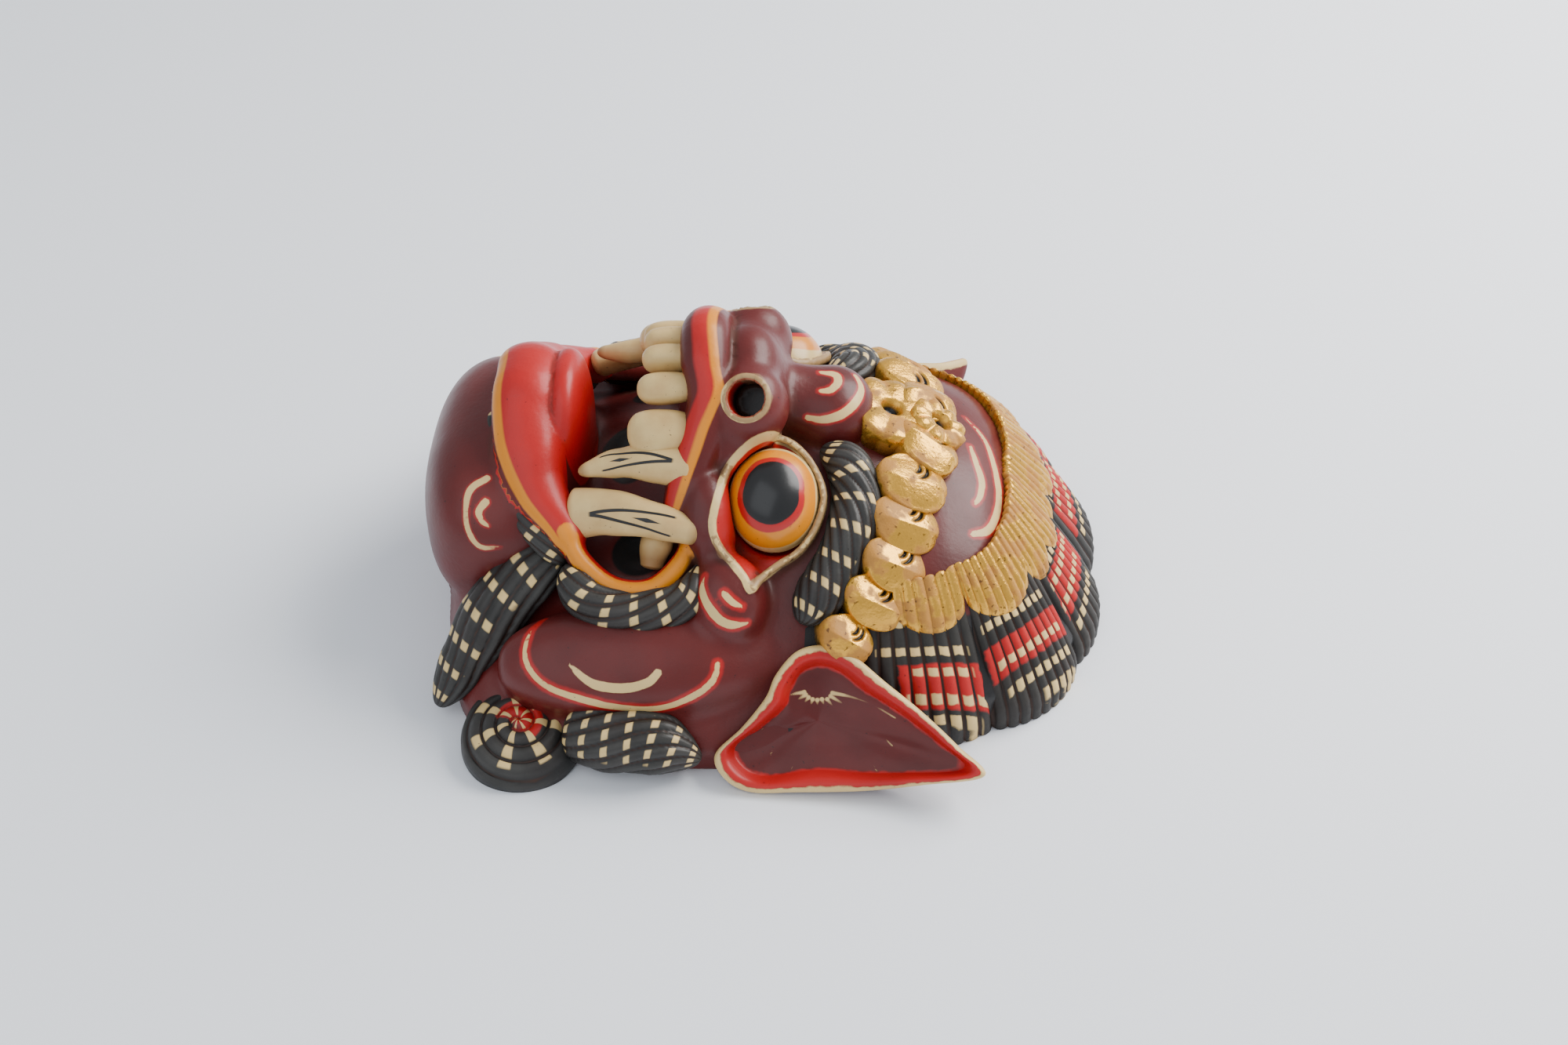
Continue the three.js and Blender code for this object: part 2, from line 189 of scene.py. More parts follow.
def blob(centre, radii, turn=(0, 0, 0), power=2.0):
    """An ellipsoid; a power above 2 squares it up."""
    centre, radii, axes = np.array(centre, float), np.array(radii, float), turned(turn)
    reach = np.abs(axes) @ radii

    def distance(p):
        out = p - centre
        size = (np.abs(out @ axes / radii) ** power).sum(1) ** (1 / power)
        return np.linalg.norm(out, axis=1) * (1 - 1 / np.maximum(size, 1e-4))

    return centre - reach, centre + reach, distance


def path_frame(points, widths, heights, up, count):
    line = smooth_line(points, count)
    along = unit(np.gradient(line, axis=0))
    across = unit(np.cross(up, along))
    out = np.cross(along, across)
    return line, along, across, out, smooth_values(widths, count), smooth_values(heights, count)


def measure_path(p, frame_):
    """For each point: distance to an oval roll along a path, share of the way along it, angle round it."""
    line, along, across, out, widths, heights = frame_
    best = np.full(len(p), 1e9)
    segment = np.zeros(len(p), int)
    share = np.zeros(len(p))
    for i in range(len(line) - 1):
        step = line[i + 1] - line[i]
        s = np.clip((p - line[i]) @ step / (step @ step), 0, 1)
        gap = ((p - line[i] - s[:, None] * step) ** 2).sum(1)
        closer = gap < best
        best = np.where(closer, gap, best)
        segment = np.where(closer, i, segment)
        share = np.where(closer, s, share)

    def between(values):
        if values.ndim == 2:
            return values[segment] * (1 - share[:, None]) + values[segment + 1] * share[:, None]
        return values[segment] * (1 - share) + values[segment + 1] * share

    offset = p - between(line)
    w, h = between(widths), between(heights)
    side = (offset * between(across)).sum(1)
    lift = (offset * between(out)).sum(1)
    beyond = (offset * between(along)).sum(1)
    size = np.sqrt((side / w) ** 2 + (lift / h) ** 2 + (beyond / np.minimum(w, h)) ** 2)
    reach = np.linalg.norm(offset, axis=1)
    distance = reach * (1 - 1 / np.maximum(size, 1e-4))
    return distance, (segment + share) / (len(line) - 1), np.degrees(np.arctan2(lift, side))


def roll(points, widths, heights, up=(0, 0, 1), count=26):
    """A roll of oval section along a path: half widths across it and half heights out of the face."""
    frame_ = path_frame(points, widths, heights, up, count)
    reach = np.maximum(frame_[4], frame_[5])[:, None]
    return (frame_[0] - reach).min(0), (frame_[0] + reach).max(0), lambda p: measure_path(p, frame_)[0]


def other_side(form):
    low, high, distance = form
    low, high = np.array((low[0], -high[1], low[2])), np.array((high[0], -low[1], high[2]))
    return low, high, lambda p: distance(p * (1, -1, 1))


def both_sides(forms):
    return [side for form in forms for side in (form, other_side(form))]


def soft_min(a, b, soft):
    overlap = np.maximum(soft - np.abs(a - b), 0) / soft
    return np.minimum(a, b) - overlap * overlap * soft / 4


def join(d, p, form, soft):
    low, high, distance = form
    near = np.all((p > low - MARGIN) & (p < high + MARGIN), axis=1)
    d[near] = soft_min(d[near], distance(p[near]), soft)


def cut(d, p, form, soft):
    low, high, distance = form
    near = np.all((p > low - MARGIN) & (p < high + MARGIN), axis=1)
    d[near] = -soft_min(-d[near], distance(p[near]), soft)


# %% [markdown]
# ## The mass of the block
# Behind the features the block is an arch over each station along X. The crown end carries the slope
# that the fluted hair lies on, so the same rule gives the slope and, later, the hair.

# %% The mass of the block
RIM = 7.0
STATIONS = [
    [-102, 34, 24], [-93, 68, 38], [-76, 81, 47], [-46, 88, 53], [-12, 88, 63],
    [16, 84, 70], [40, 70, 66], [62, 46, 50], [80, 28, 30],
]
stations = smooth_line(STATIONS, 120)
stations = stations[np.argsort(stations[:, 0])]


def block_distance(p):
    half = np.interp(p[:, 0], stations[:, 0], stations[:, 1])
    rise = np.interp(p[:, 0], stations[:, 0], stations[:, 2]) - RIM
    above = np.maximum(p[:, 2] - RIM, 0)
    size = ((np.abs(p[:, 1]) / half) ** 1.6 + (above / rise) ** 1.3) ** (1 / 1.45)
    arch = np.hypot(p[:, 1], above) * (1 - 1 / np.maximum(size, 1e-3))
    ends = np.maximum(-102 - p[:, 0], p[:, 0] - 80)
    return np.maximum(arch, ends)


HAIR_CENTRE = 28.0
CROWN, SIDE = 82.0, 80.0
DOME_EDGE_AT = [0, 21, 36, 49, 58, 71, 79, 103]
DOME_EDGE = [0.60, 0.64, 0.67, 0.69, 0.71, 0.725, 0.73, 0.7]


def hair_radius(degrees):
    angle = np.radians(degrees)
    return ((np.abs(np.cos(angle)) / CROWN) ** 2.5 + (np.abs(np.sin(angle)) / SIDE) ** 2.5) ** (-1 / 2.5)


def hair_height(degrees, share):
    side = np.interp(share, [0, 0.6, 0.75, 0.9, 0.985, 1], [57, 53, 41, 23.5, 10, 6])
    crown = np.interp(share, [0, 0.6, 0.75, 0.9, 0.985, 1], [52, 47, 34.5, 19, 8, 5])
    lean = np.clip(np.abs(degrees) / 70, 0, 1)
    return crown * (1 - lean) + side * lean


def hair_bed_distance(p):
    degrees = np.degrees(np.arctan2(p[:, 1], p[:, 0] - HAIR_CENTRE))
    radius = np.hypot(p[:, 1], p[:, 0] - HAIR_CENTRE)
    share = radius / hair_radius(degrees)
    top = (p[:, 2] - hair_height(degrees, share) + 6.0) * 0.6
    return np.maximum(np.maximum(top, radius - hair_radius(degrees) + 6), (np.abs(degrees) - 100) * 0.6)


# %% [markdown]
# ## Carving the face
# The order matters as it does on the bench: masses first, then the mouth and the eye sockets are cut,
# then lips, lids and tongue are raised in them, and last the nostrils are bored and the back hollowed.

# %% Carving the face
UP_AND_OUT = (0, -0.7, 0.7)
HOLLOW = blob((4, 0, -6), (90, 74, 58))
MOUTH = [blob((-46, 0, 75), (15, 34, 25)), *both_sides([blob((-41, -43, 56), (14, 13, 14))])]
EYE_CENTRE, EYE_RADII, EYE_TURN = (3, -33, 62), (14, 16, 14), (40, 0, 0)
NOSTRIL_AXIS = unit(np.array((-0.15, -0.72, 0.68)))
NOSTRIL_MOUTH = np.array((-5.6, -21.0, 92.0))
NOSTRIL_RADIUS, NOSTRIL_DEPTH = 5.6, 13.0

masses = [
    (blob((-83, 0, 40), (26.33, 45, 31), power=2.6), 7),
    (blob((-72, 0, 54), (13, 35, 27), power=2.6), 5),
    (blob((-12, 0, 55), (17, 33, 36), power=2.6), 5),
    (blob((44, 0, 15.5), (37.5, 66, 46), (0, 22, 0), 2.2), 3),
    (blob((20, 0, 71), (13.5, 15, 14)), 2.5),
    (blob((-6, 0, 83), (12, 17, 17.5)), 4),
    (blob((7, 0, 76), (12, 12, 10)), 5),
]
side_masses = [
    (blob((-39, -68, 26), (41, 17, 14), (38, 0, 3), 2.3), 7),
    (blob((-17, -38, 60), (9, 16, 11), (45, 0, 8)), 3),
    (blob((-10, -58, 44), (11.5, 14, 10), (44, 0, 8)), 5),
    (blob((-5, -16, 85), (12, 12, 13)), 4),
]
eye_hole = blob((3, -33.4, 62.2), (14.8, 17, 14.6), EYE_TURN)
SOCKET = [
    [-13, -37, 70], [-15, -47, 64.5], [-13, -51, 59], [-8, -55.5, 55.5], [-4.6, -59, 53], [-3, -61.5, 51],
    [-0.5, -57.5, 52], [5, -52, 53], [11, -48, 55], [16, -42, 60], [18, -34, 66], [14, -25, 70.5],
    [8, -20, 74], [2, -20, 76], [-5, -25.5, 77], [-11, -31, 73],
]
lid_frame = path_frame(SOCKET + SOCKET[:1], [1.1] * 17, [1.7] * 17, UP_AND_OUT, 60)
MOUTH_ROLLS = {
    "lower_lip": (LOWER_LIP, [9, 10, 10, 8.5, 6], [6.5, 7, 7, 6.5, 6], (0, 0, 1)),
    "upper_lip": (UPPER_LIP, [7, 7.5, 7, 7, 6, 4], [6, 6.8, 7, 7, 6, 4], (0, 0, 1)),
    "mouth_corner": (MOUTH_CORNER, [3.4, 3.6, 3.6, 3.6, 3.6, 2.5], [5, 5, 5, 5, 5, 4], UP_AND_OUT),
}
lower_lip, upper_lip, corner_rim = [roll(*route) for route in MOUTH_ROLLS.values()]
tongue = blob((-63, 0, 61), (7.6, 21, 27), power=2.3)


def lid_distance(p):
    return measure_path(p, lid_frame)[0]


lid = (np.array((-18, -65, 46)), np.array((21, -16, 80)), lid_distance)


def nostril_place(p):
    """Distance from the nostril's axis, and height along it over the nostril's mouth."""
    height = (p - NOSTRIL_MOUTH) @ NOSTRIL_AXIS
    return np.linalg.norm(p - NOSTRIL_MOUTH - height[:, None] * NOSTRIL_AXIS, axis=1), height


def nostril_distance(p):
    radius, height = nostril_place(p)
    return np.maximum(radius - NOSTRIL_RADIUS, -NOSTRIL_DEPTH - height)


nostril = (NOSTRIL_MOUTH - 16, NOSTRIL_MOUTH + 16, nostril_distance)


def carved(p):
    """Distance from every point to the skin of the carved block."""
    d = np.minimum(block_distance(p), 60)
    for form, soft in masses:
        join(d, p, form, soft)
    for form, soft in side_masses:
        for side in both_sides([form]):
            join(d, p, side, soft)
    d = soft_min(d, hair_bed_distance(p), 1)
    for form in MOUTH:
        cut(d, p, form, 2)
    for form in both_sides([eye_hole]):
        cut(d, p, form, 1.2)
    for form in both_sides([lid]):
        join(d, p, form, 1.0)
    for form in both_sides([lower_lip, upper_lip]):
        join(d, p, form, 1.6)
    for form in both_sides([corner_rim]):
        join(d, p, form, 1.5)
    join(d, p, tongue, 1)
    for form in both_sides([nostril]):
        cut(d, p, form, 1)
    cut(d, p, HOLLOW, 2)
    return -soft_min(-d, p[:, 2], 0.8)

# %% [markdown]
# ## From distances to a skin
# The field is measured on a fine grid. Every grid cell that the skin passes through gets one point,
# and every grid edge that it crosses gets one four-sided face between the cells around it, a way
# known as surface nets. The points are then slid along the field's own slope until they lie on the
# skin, so the grid's steps disappear.

# %% From distances to a skin
def grid_points(low, high, step):
    axes = [np.arange(a, b + step, step) for a, b in zip(low, high)]
    return axes, tuple(len(axis) for axis in axes)


def measure_grid(field, low, high, step):
    (xs, ys, zs), shape = grid_points(low, high, step)
    values = np.empty(shape, np.float32)
    flat = np.stack(np.meshgrid(ys, zs, indexing="ij"), -1).reshape(-1, 2)
    for start in range(0, len(xs), 12):
        some = xs[start:start + 12]
        p = np.column_stack([np.repeat(some, len(flat)), np.tile(flat, (len(some), 1))])
        values[start:start + len(some)] = field(p).reshape(len(some), *shape[1:])
    return values


def cut_slices(axis, first, last):
    return tuple(slice(first, last) if k == axis else slice(None) for k in range(3))


def cell_points(values, low, step):
    """One point for each cell that the skin passes through: the mean of its edge crossings."""
    shape = tuple(n - 1 for n in values.shape)
    total = np.zeros((*shape, 3), np.float32)
    crossed = np.zeros(shape, np.int8)
    for axis in range(3):
        u, v = [k for k in range(3) if k != axis]
        for du in (0, 1):
            for dv in (0, 1):
                place = [slice(0, -1)] * 3
                place[u] = slice(du, values.shape[u] - 1 + du)
                place[v] = slice(dv, values.shape[v] - 1 + dv)
                beyond = list(place)
                beyond[axis] = slice(1, None)
                a, b = values[tuple(place)], values[tuple(beyond)]
                hit = (a < 0) != (b < 0)
                t = np.where(hit, a / np.where(hit, a - b, 1), 0)
                corner = np.zeros(3, np.float32)
                corner[u], corner[v] = du, dv
                total += hit[..., None] * corner
                total[..., axis] += t
                crossed += hit
    cells = np.argwhere(crossed)
    points = cells + total[crossed > 0] / crossed[crossed > 0][:, None]
    number = np.full(shape, -1, np.int64)
    number[crossed > 0] = np.arange(len(cells))
    return np.asarray(low) + points * step, number


def cell_faces(values, number):
    faces = []
    for axis in range(3):
        u, v = (axis + 1) % 3, (axis + 2) % 3
        inside = values < 0
        hit = inside[cut_slices(axis, 0, -1)] != inside[cut_slices(axis, 1, None)]
        at = np.argwhere(hit)
        at = at[(at[:, u] > 0) & (at[:, v] > 0)]
        at = at[(at[:, u] < number.shape[u]) & (at[:, v] < number.shape[v])]
        ring = []
        for du, dv in ((-1, -1), (0, -1), (0, 0), (-1, 0)):
            cell = at.copy()
            cell[:, u] += du
            cell[:, v] += dv
            ring.append(number[tuple(cell.T)])
        quads = np.column_stack(ring)
        low_inside = inside[tuple(at.T)]
        faces.append(np.where(low_inside[:, None], quads, quads[:, ::-1]))
    return np.vstack(faces)


def slope(field, p, reach=0.06):
    steps = np.eye(3) * reach
    return np.column_stack([field(p + s) - field(p - s) for s in steps]) / (2 * reach)


def settle(field, p, rounds=2, longest=0.6):
    """Slides points along the field's slope until they lie on its skin."""
    for _ in range(rounds):
        g = slope(field, p)
        move = field(p) / np.maximum((g * g).sum(1), 0.2)
        p = p - np.clip(move, -longest, longest)[:, None] * g
    return p


# %% Meshes and their finish
def make_mesh(name, points, faces, **fields):
    """A piece from points in millimetres; each field is one number or three per point."""
    mesh = bpy.data.meshes.new(name)
    points, faces = np.asarray(points, float) * MM, np.asarray(faces)
    mesh.vertices.add(len(points))
    mesh.vertices.foreach_set("co", points.ravel())
    mesh.loops.add(faces.size)
    mesh.loops.foreach_set("vertex_index", faces.ravel())
    mesh.polygons.add(len(faces))
    mesh.polygons.foreach_set("loop_start", np.arange(0, faces.size, faces.shape[1]))
    mesh.update(calc_edges=True)
    mesh.validate()
    add_fields(mesh, fields)
    piece = bpy.data.objects.new(name, mesh)
    bpy.context.scene.collection.objects.link(piece)
    return piece


def make_line(name, points, edges=True, **fields):
    """A string of points, or loose ones, for a tree to grow a piece on."""
    mesh = bpy.data.meshes.new(name)
    links = [(i, i + 1) for i in range(len(points) - 1)] if edges else []
    mesh.from_pydata((np.asarray(points, float) * MM).tolist(), links, [])
    add_fields(mesh, fields)
    piece = bpy.data.objects.new(name, mesh)
    bpy.context.scene.collection.objects.link(piece)
    return piece


def add_fields(mesh, fields):
    for name, values in fields.items():
        values = np.asarray(values, np.float32)
        kind = "FLOAT" if values.ndim == 1 else "FLOAT_VECTOR"
        layer = mesh.attributes.new(name, kind, "POINT")
        layer.data.foreach_set("value" if kind == "FLOAT" else "vector", values.ravel())


def finish_piece(piece, material):
    piece.data.materials.clear()
    piece.data.materials.append(material)
    piece.data.shade_smooth()
    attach(piece, "root")
    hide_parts("mask")
    corners = np.array([v.co for v in piece.data.vertices]) / MM
    print(piece.name, len(corners), "points", corners.min(0).round(1), corners.max(0).round(1))


def ring_faces(rows, columns):
    """Quads between rings of points."""
    r = np.arange(rows - 1)[:, None]
    c = np.arange(columns)[None, :]
    beside = (c + 1) % columns
    here, after = r * columns, (r + 1) * columns
    quads = np.stack(np.broadcast_arrays(here + c, here + beside, after + beside, after + c), -1)
    return quads.reshape(-1, 4)


def closed_skin(name, rings, **fields):
    """Rings of points from one pole to the other, with a fan of triangles on each pole."""
    rings = np.asarray(rings, float)
    rows, columns = rings.shape[:2]
    faces = ring_faces(rows, columns).tolist()
    poles = rows * columns, rows * columns + 1
    for c in range(columns):
        beside = (c + 1) % columns
        faces.append([poles[0], beside, c])
        faces.append([poles[1], (rows - 1) * columns + c, (rows - 1) * columns + beside])
    mesh = bpy.data.meshes.new(name)
    mesh.from_pydata((with_poles(rings) * MM).tolist(), [], faces)
    add_fields(mesh, {key: np.squeeze(with_poles(np.atleast_3d(v))) for key, v in fields.items()})
    piece = bpy.data.objects.new(name, mesh)
    bpy.context.scene.collection.objects.link(piece)
    return piece


def with_poles(values):
    return np.vstack([values.reshape(-1, values.shape[-1]), values[0].mean(0), values[-1].mean(0)])


def outward(piece):
    """Turns every face of a closed piece to the outside."""
    shape = bmesh.new()
    shape.from_mesh(piece.data)
    bmesh.ops.remove_doubles(shape, verts=shape.verts, dist=1e-6)
    bmesh.ops.recalc_face_normals(shape, faces=shape.faces)
    if shape.calc_volume(signed=True) < 0:
        bmesh.ops.reverse_faces(shape, faces=shape.faces)
    shape.to_mesh(piece.data)
    shape.free()
    return piece


def mirrored_pair(name, rings, fields):
    """The same closed skin on the near side and the far side."""
    return [
        outward(closed_skin(f"{name}_{side}", rings * (1, flip, 1), **fields))
        for side, flip in (("near", 1), ("far", -1))
    ]


# %% [markdown]
# ## Writing node trees as sums
# Materials and Geometry Nodes trees are long chains of sums. A small class wraps a socket, so that
# `1 - mask` adds its Math node, and one method adds any other node with its settings.

# %% Sockets that can be added and multiplied
class Value:
    """A node's output in sums. Value(tree) alone only adds nodes."""

    def __init__(self, tree, socket=None):
        self.tree, self.socket = tree, socket

    def node(self, kind, sockets=None, output=0, **settings):
        made = self.tree.nodes.new(kind)
        for name, setting in settings.items():
            setattr(made, name, setting)
        for name, value in (sockets or {}).items():
            if isinstance(value, Value):
                self.tree.links.new(value.socket, made.inputs[name])
            else:
                made.inputs[name].default_value = value
        return Value(self.tree, made.outputs[output]) if made.outputs else made

    def math(self, operation, *others):
        values = dict(enumerate((self, *others)))
        return self.node("ShaderNodeMath", values, operation=operation)

    def vector(self, operation, *others):
        values = dict(enumerate((self, *others)))
        return self.node("ShaderNodeVectorMath", values, operation=operation)

    def scaled(self, size):
        return self.node("ShaderNodeVectorMath", {0: self, "Scale": size}, operation="SCALE")

    def __add__(self, other):
        return self.math("ADD", other)

    def __mul__(self, other):
        return self.math("MULTIPLY", other)

    def __sub__(self, other):
        return self.math("SUBTRACT", other)

    def __truediv__(self, other):
        return self.math("DIVIDE", other)

    def __rsub__(self, other):
        return self * -1 + other

    def __rtruediv__(self, other):
        return self.math("POWER", -1.0) * other

    __radd__, __rmul__ = __add__, __mul__

    def over(self, edge, soft=0.15):
        """1 where this is over the edge, 0 under it."""
        return self.node("ShaderNodeClamp", {"Value": (self - edge) / soft + 0.5})

    def under(self, edge, soft=0.15):
        """1 where this is under the edge, 0 over it."""
        return self.node("ShaderNodeClamp", {"Value": (edge - self) / soft + 0.5})

    def within(self, first, last, soft=0.15):
        """1 between the two edges, 0 outside them."""
        return self.over(first, soft) * self.under(last, soft)

    def parts(self):
        """A vector's three numbers."""
        split = self.node("ShaderNodeSeparateXYZ", {"Vector": self})
        return [Value(self.tree, output) for output in split.socket.node.outputs]


# %% Trees that grow or cut a shape
def new_tree(name, sizes):
    """An empty tree with a named input for each size, and its inputs as sums."""
    tree = bpy.data.node_groups.new(name, "GeometryNodeTree")
    sockets = tree.interface
    sockets.new_socket("Geometry", in_out="OUTPUT", socket_type="NodeSocketGeometry")
    sockets.new_socket("Geometry", in_out="INPUT", socket_type="NodeSocketGeometry")
    sockets.new_socket("Paint", in_out="INPUT", socket_type="NodeSocketMaterial")
    for label, size in sizes.items():
        kind = "NodeSocketInt" if isinstance(size, int) else "NodeSocketFloat"
        sockets.new_socket(label, in_out="INPUT", socket_type=kind).default_value = size
    start = tree.nodes.new("NodeGroupInput")
    inputs = {socket.name: Value(tree, socket) for socket in start.outputs if socket.name}
    return tree, inputs


def close_tree(tree, shape, paint):
    shape = shape.node("GeometryNodeRealizeInstances", {"Geometry": shape})
    shape = shape.node("GeometryNodeSetMaterial", {"Geometry": shape, "Material": paint})
    end = tree.nodes.new("NodeGroupOutput")
    tree.links.new(shape.socket, end.inputs["Geometry"])


def grow(piece, tree, **sizes):
    """Runs a tree on a piece and keeps the result as its plain mesh."""
    modifier = piece.modifiers.new(tree.name, "NODES")
    modifier.node_group = tree
    wanted = {name.replace("_", " "): size for name, size in sizes.items()}
    for item in tree.interface.items_tree:
        if item.in_out == "INPUT" and item.name in wanted:
            modifier[item.identifier] = wanted[item.name]
    solved = piece.evaluated_get(bpy.context.evaluated_depsgraph_get())
    mesh = bpy.data.meshes.new_from_object(solved)
    piece.modifiers.clear()
    piece.data = mesh
    return outward(piece)


def attribute(value, name, kind="FLOAT"):
    return value.node("GeometryNodeInputNamedAttribute", {"Name": name}, data_type=kind)


PAINTS = {name: bpy.data.materials.new(name) for name in (
    "block_lacquer", "hair_paint", "gold_leaf", "lock_paint", "curl_paint", "tooth_cream",
    "tusk_cream", "eye_paint", "ear_lacquer",
)}

# %% [markdown]
# ## The carved block
# The block is one piece of wood: chin, cheeks, lips, nose, dome and the bed under the hair. Its skin
# comes from the field above.

# %% The carved block
STEP = 1.3
GRID_LOW, GRID_HIGH = np.array((-110.5, -101.5, -2.3)), np.array((112.0, 102.5, 109.0))
values = measure_grid(carved, GRID_LOW, GRID_HIGH, STEP)
skin, number = cell_points(values, GRID_LOW, STEP)
skin_faces = cell_faces(values, number)
skin = settle(carved, skin)
print("block:", len(skin), "points,", 2 * len(skin_faces), "triangles")

# %% [markdown]
# ## Where the paint goes
# A brush follows the carving, so each painted line is kept as a distance on the skin: from a lip's
# crest, from the edge of a socket, or from the middle of a brush stroke. The material only compares
# these with the width of the brush.

# %% Brush strokes
FAR_AWAY = 30.0
SIDE_STROKES = {
    "under the eye, long": (
        [[-17, -58, 53], [-17.4, -62, 50.5], [-14, -67.4, 47], [-9.6, -69.4, 44.5], [-4, -68, 43.6]],
        [0.4, 1.3, 1.5, 1.4, 0.6], 1,
    ),
    "under the eye, short": (
        [[-10.7, -64.2, 52], [-8.3, -65.8, 50.2], [-5.5, -66.1, 48.7]],
        [1, 1, 0.5], 1,
    ),
    "cheek, long": (
        [[-66, -62, 37], [-70, -69, 36], [-70, -76, 32.6], [-64, -81, 28.6], [-53, -84, 26],
         [-42, -84.7, 23.4], [-30, -84, 22.6], [-19, -82, 26.8], [-13.5, -79, 30.7], [-12.5, -76, 34]],
        [0.3, 0.8, 0.9, 1.1, 1.3, 1.3, 1.3, 1.2, 1.1, 0.8], 1,
    ),
    "cheek, short": (
        [[-57.6, -77, 35], [-54, -80, 33], [-48.5, -82.5, 30.6], [-39.7, -83, 30], [-33, -82, 31.6],
         [-30, -80, 34]],
        [0.4, 1.1, 1.5, 1.5, 1.4, 1.2], 0,
    ),
    "chin, long": (
        [[-85, -30.4, 66], [-90, -33.5, 64], [-91, -38, 59], [-90, -42, 54], [-86.7, -44, 50],
         [-80.7, -44, 50]],
        [1.1, 1.1, 0.9, 0.9, 0.8, 0.4], 0.5,
    ),
    "chin, short": (
        [[-85, -36.7, 62], [-87, -39, 60], [-86, -40.7, 57.6], [-84, -41.5, 56.4]],
        [1.2, 1.1, 0.8, 0.4], 0.6,
    ),
}
MIDDLE_STROKES = {
    "dome, long": (
        [[62.5, 16, 56.5], [69, 8, 54], [71.6, -2, 52], [73, -13.5, 50], [72, -22, 49], [69, -30, 49],
         [64, -34, 51]],
        [0.3, 0.9, 1.2, 1.4, 1.4, 1.4, 0.9], 0.8,
    ),
    "dome, short": (
        [[64, 1, 57], [66, -6.6, 56], [67.4, -13.4, 54.4], [66.6, -20, 54], [64.7, -23.4, 54]],
        [0.7, 1.1, 1.3, 1.1, 0.6], 0.8,
    ),
    "bump, long": (
        [[27, 3, 82.4], [29, -1.5, 81.5], [27.4, -7, 80.6], [23, -11.5, 79], [17, -13, 77.8],
         [12.5, -12, 77.7]],
        [1, 1.3, 1.4, 1.4, 1.2, 0.9], 0.7,
    ),
    "bump, short": (
        [[16, 1.4, 85], [20.6, 0.6, 85], [21.6, -2.8, 84.6], [19.5, -5.8, 84], [16, -6.2, 83.7]],
        [0.8, 1.3, 1.3, 1.1, 0.6], 0.7,
    ),
}


def distance_to_line(p, line):
    """Distance from each point to a line of straight steps, one column for each step."""
    gaps = []
    for start, end in zip(line, line[1:]):
        step = end - start
        share = np.clip((p - start) @ step / (step @ step), 0, 1)
        gaps.append(np.linalg.norm(p - start - share[:, None] * step, axis=1))
    return np.column_stack(gaps)


def stroke_distance(p, points, widths):
    """Distance from the edge of a brush stroke, less than zero on it."""
    line, half = smooth_line(points, 36), smooth_values(widths, 36)
    best = np.full(len(p), FAR_AWAY)
    near = np.all((p > line.min(0) - 8) & (p < line.max(0) + 8), axis=1)
    if near.any():
        best[near] = np.minimum((distance_to_line(p[near], line) - half[:-1]).min(1), FAR_AWAY)
    return best


cream, halo = np.full(len(skin), FAR_AWAY), np.full(len(skin), FAR_AWAY)
near_half = np.column_stack([skin[:, 0], -np.abs(skin[:, 1]), skin[:, 2]])
for strokes, painted in ((SIDE_STROKES, near_half), (MIDDLE_STROKES, skin)):
    for points, widths, red in strokes.values():
        gap = stroke_distance(painted, points, widths)
        cream = np.minimum(cream, gap)
        halo = np.minimum(halo, gap + 1.6 * (1 - red))
print("points under a brush stroke:", int((cream < 0).sum()))


# %% Distances from the carved edges
def socket_edge(p):
    """Signed distance from the outline of the eye's socket, seen straight on; less than zero inside."""
    half = math.sqrt(0.5)
    outline = smooth_line(SOCKET, 90, closed=True)
    flat = np.column_stack([outline[:, 0], (outline[:, 1] + outline[:, 2]) * half])
    flat = np.vstack([flat, flat[:1]])
    q = np.column_stack([p[:, 0], (p[:, 1] + p[:, 2]) * half])
    inside = np.zeros(len(q), bool)
    for start, end in zip(flat, flat[1:]):
        rise = end[1] - start[1] if abs(end[1] - start[1]) > 1e-9 else 1e-9
        crosses = (start[1] > q[:, 1]) != (end[1] > q[:, 1])
        inside ^= crosses & (q[:, 0] < start[0] + (q[:, 1] - start[1]) * (end[0] - start[0]) / rise)
    edge = distance_to_line(q, flat).min(1)
    faces_out = (p[:, 2] - p[:, 1]) * half > 52
    return np.where(faces_out, np.where(inside, -edge, edge), 20.0)


def bed_distance(p):
    """Less than zero on the bed under the hair, which shows dark between the locks."""
    degrees = np.degrees(np.arctan2(p[:, 1], p[:, 0] - HAIR_CENTRE))
    share = np.hypot(p[:, 1], p[:, 0] - HAIR_CENTRE) / hair_radius(degrees)
    edge = np.interp(abs(degrees), DOME_EDGE_AT, DOME_EDGE)
    return np.where(abs(degrees) < DOME_EDGE_AT[-1], (edge + 0.05 - share) * 80, 20.0)


def packed(*values):
    """Two or three numbers for each point as one vector."""
    spare = [np.zeros(len(values[0]))] * (3 - len(values))
    return np.column_stack([*values, *spare])


def distance_and_angle(p, route):
    gap, _, angle = measure_path(p, path_frame(*route, 40))
    return packed(gap, angle)


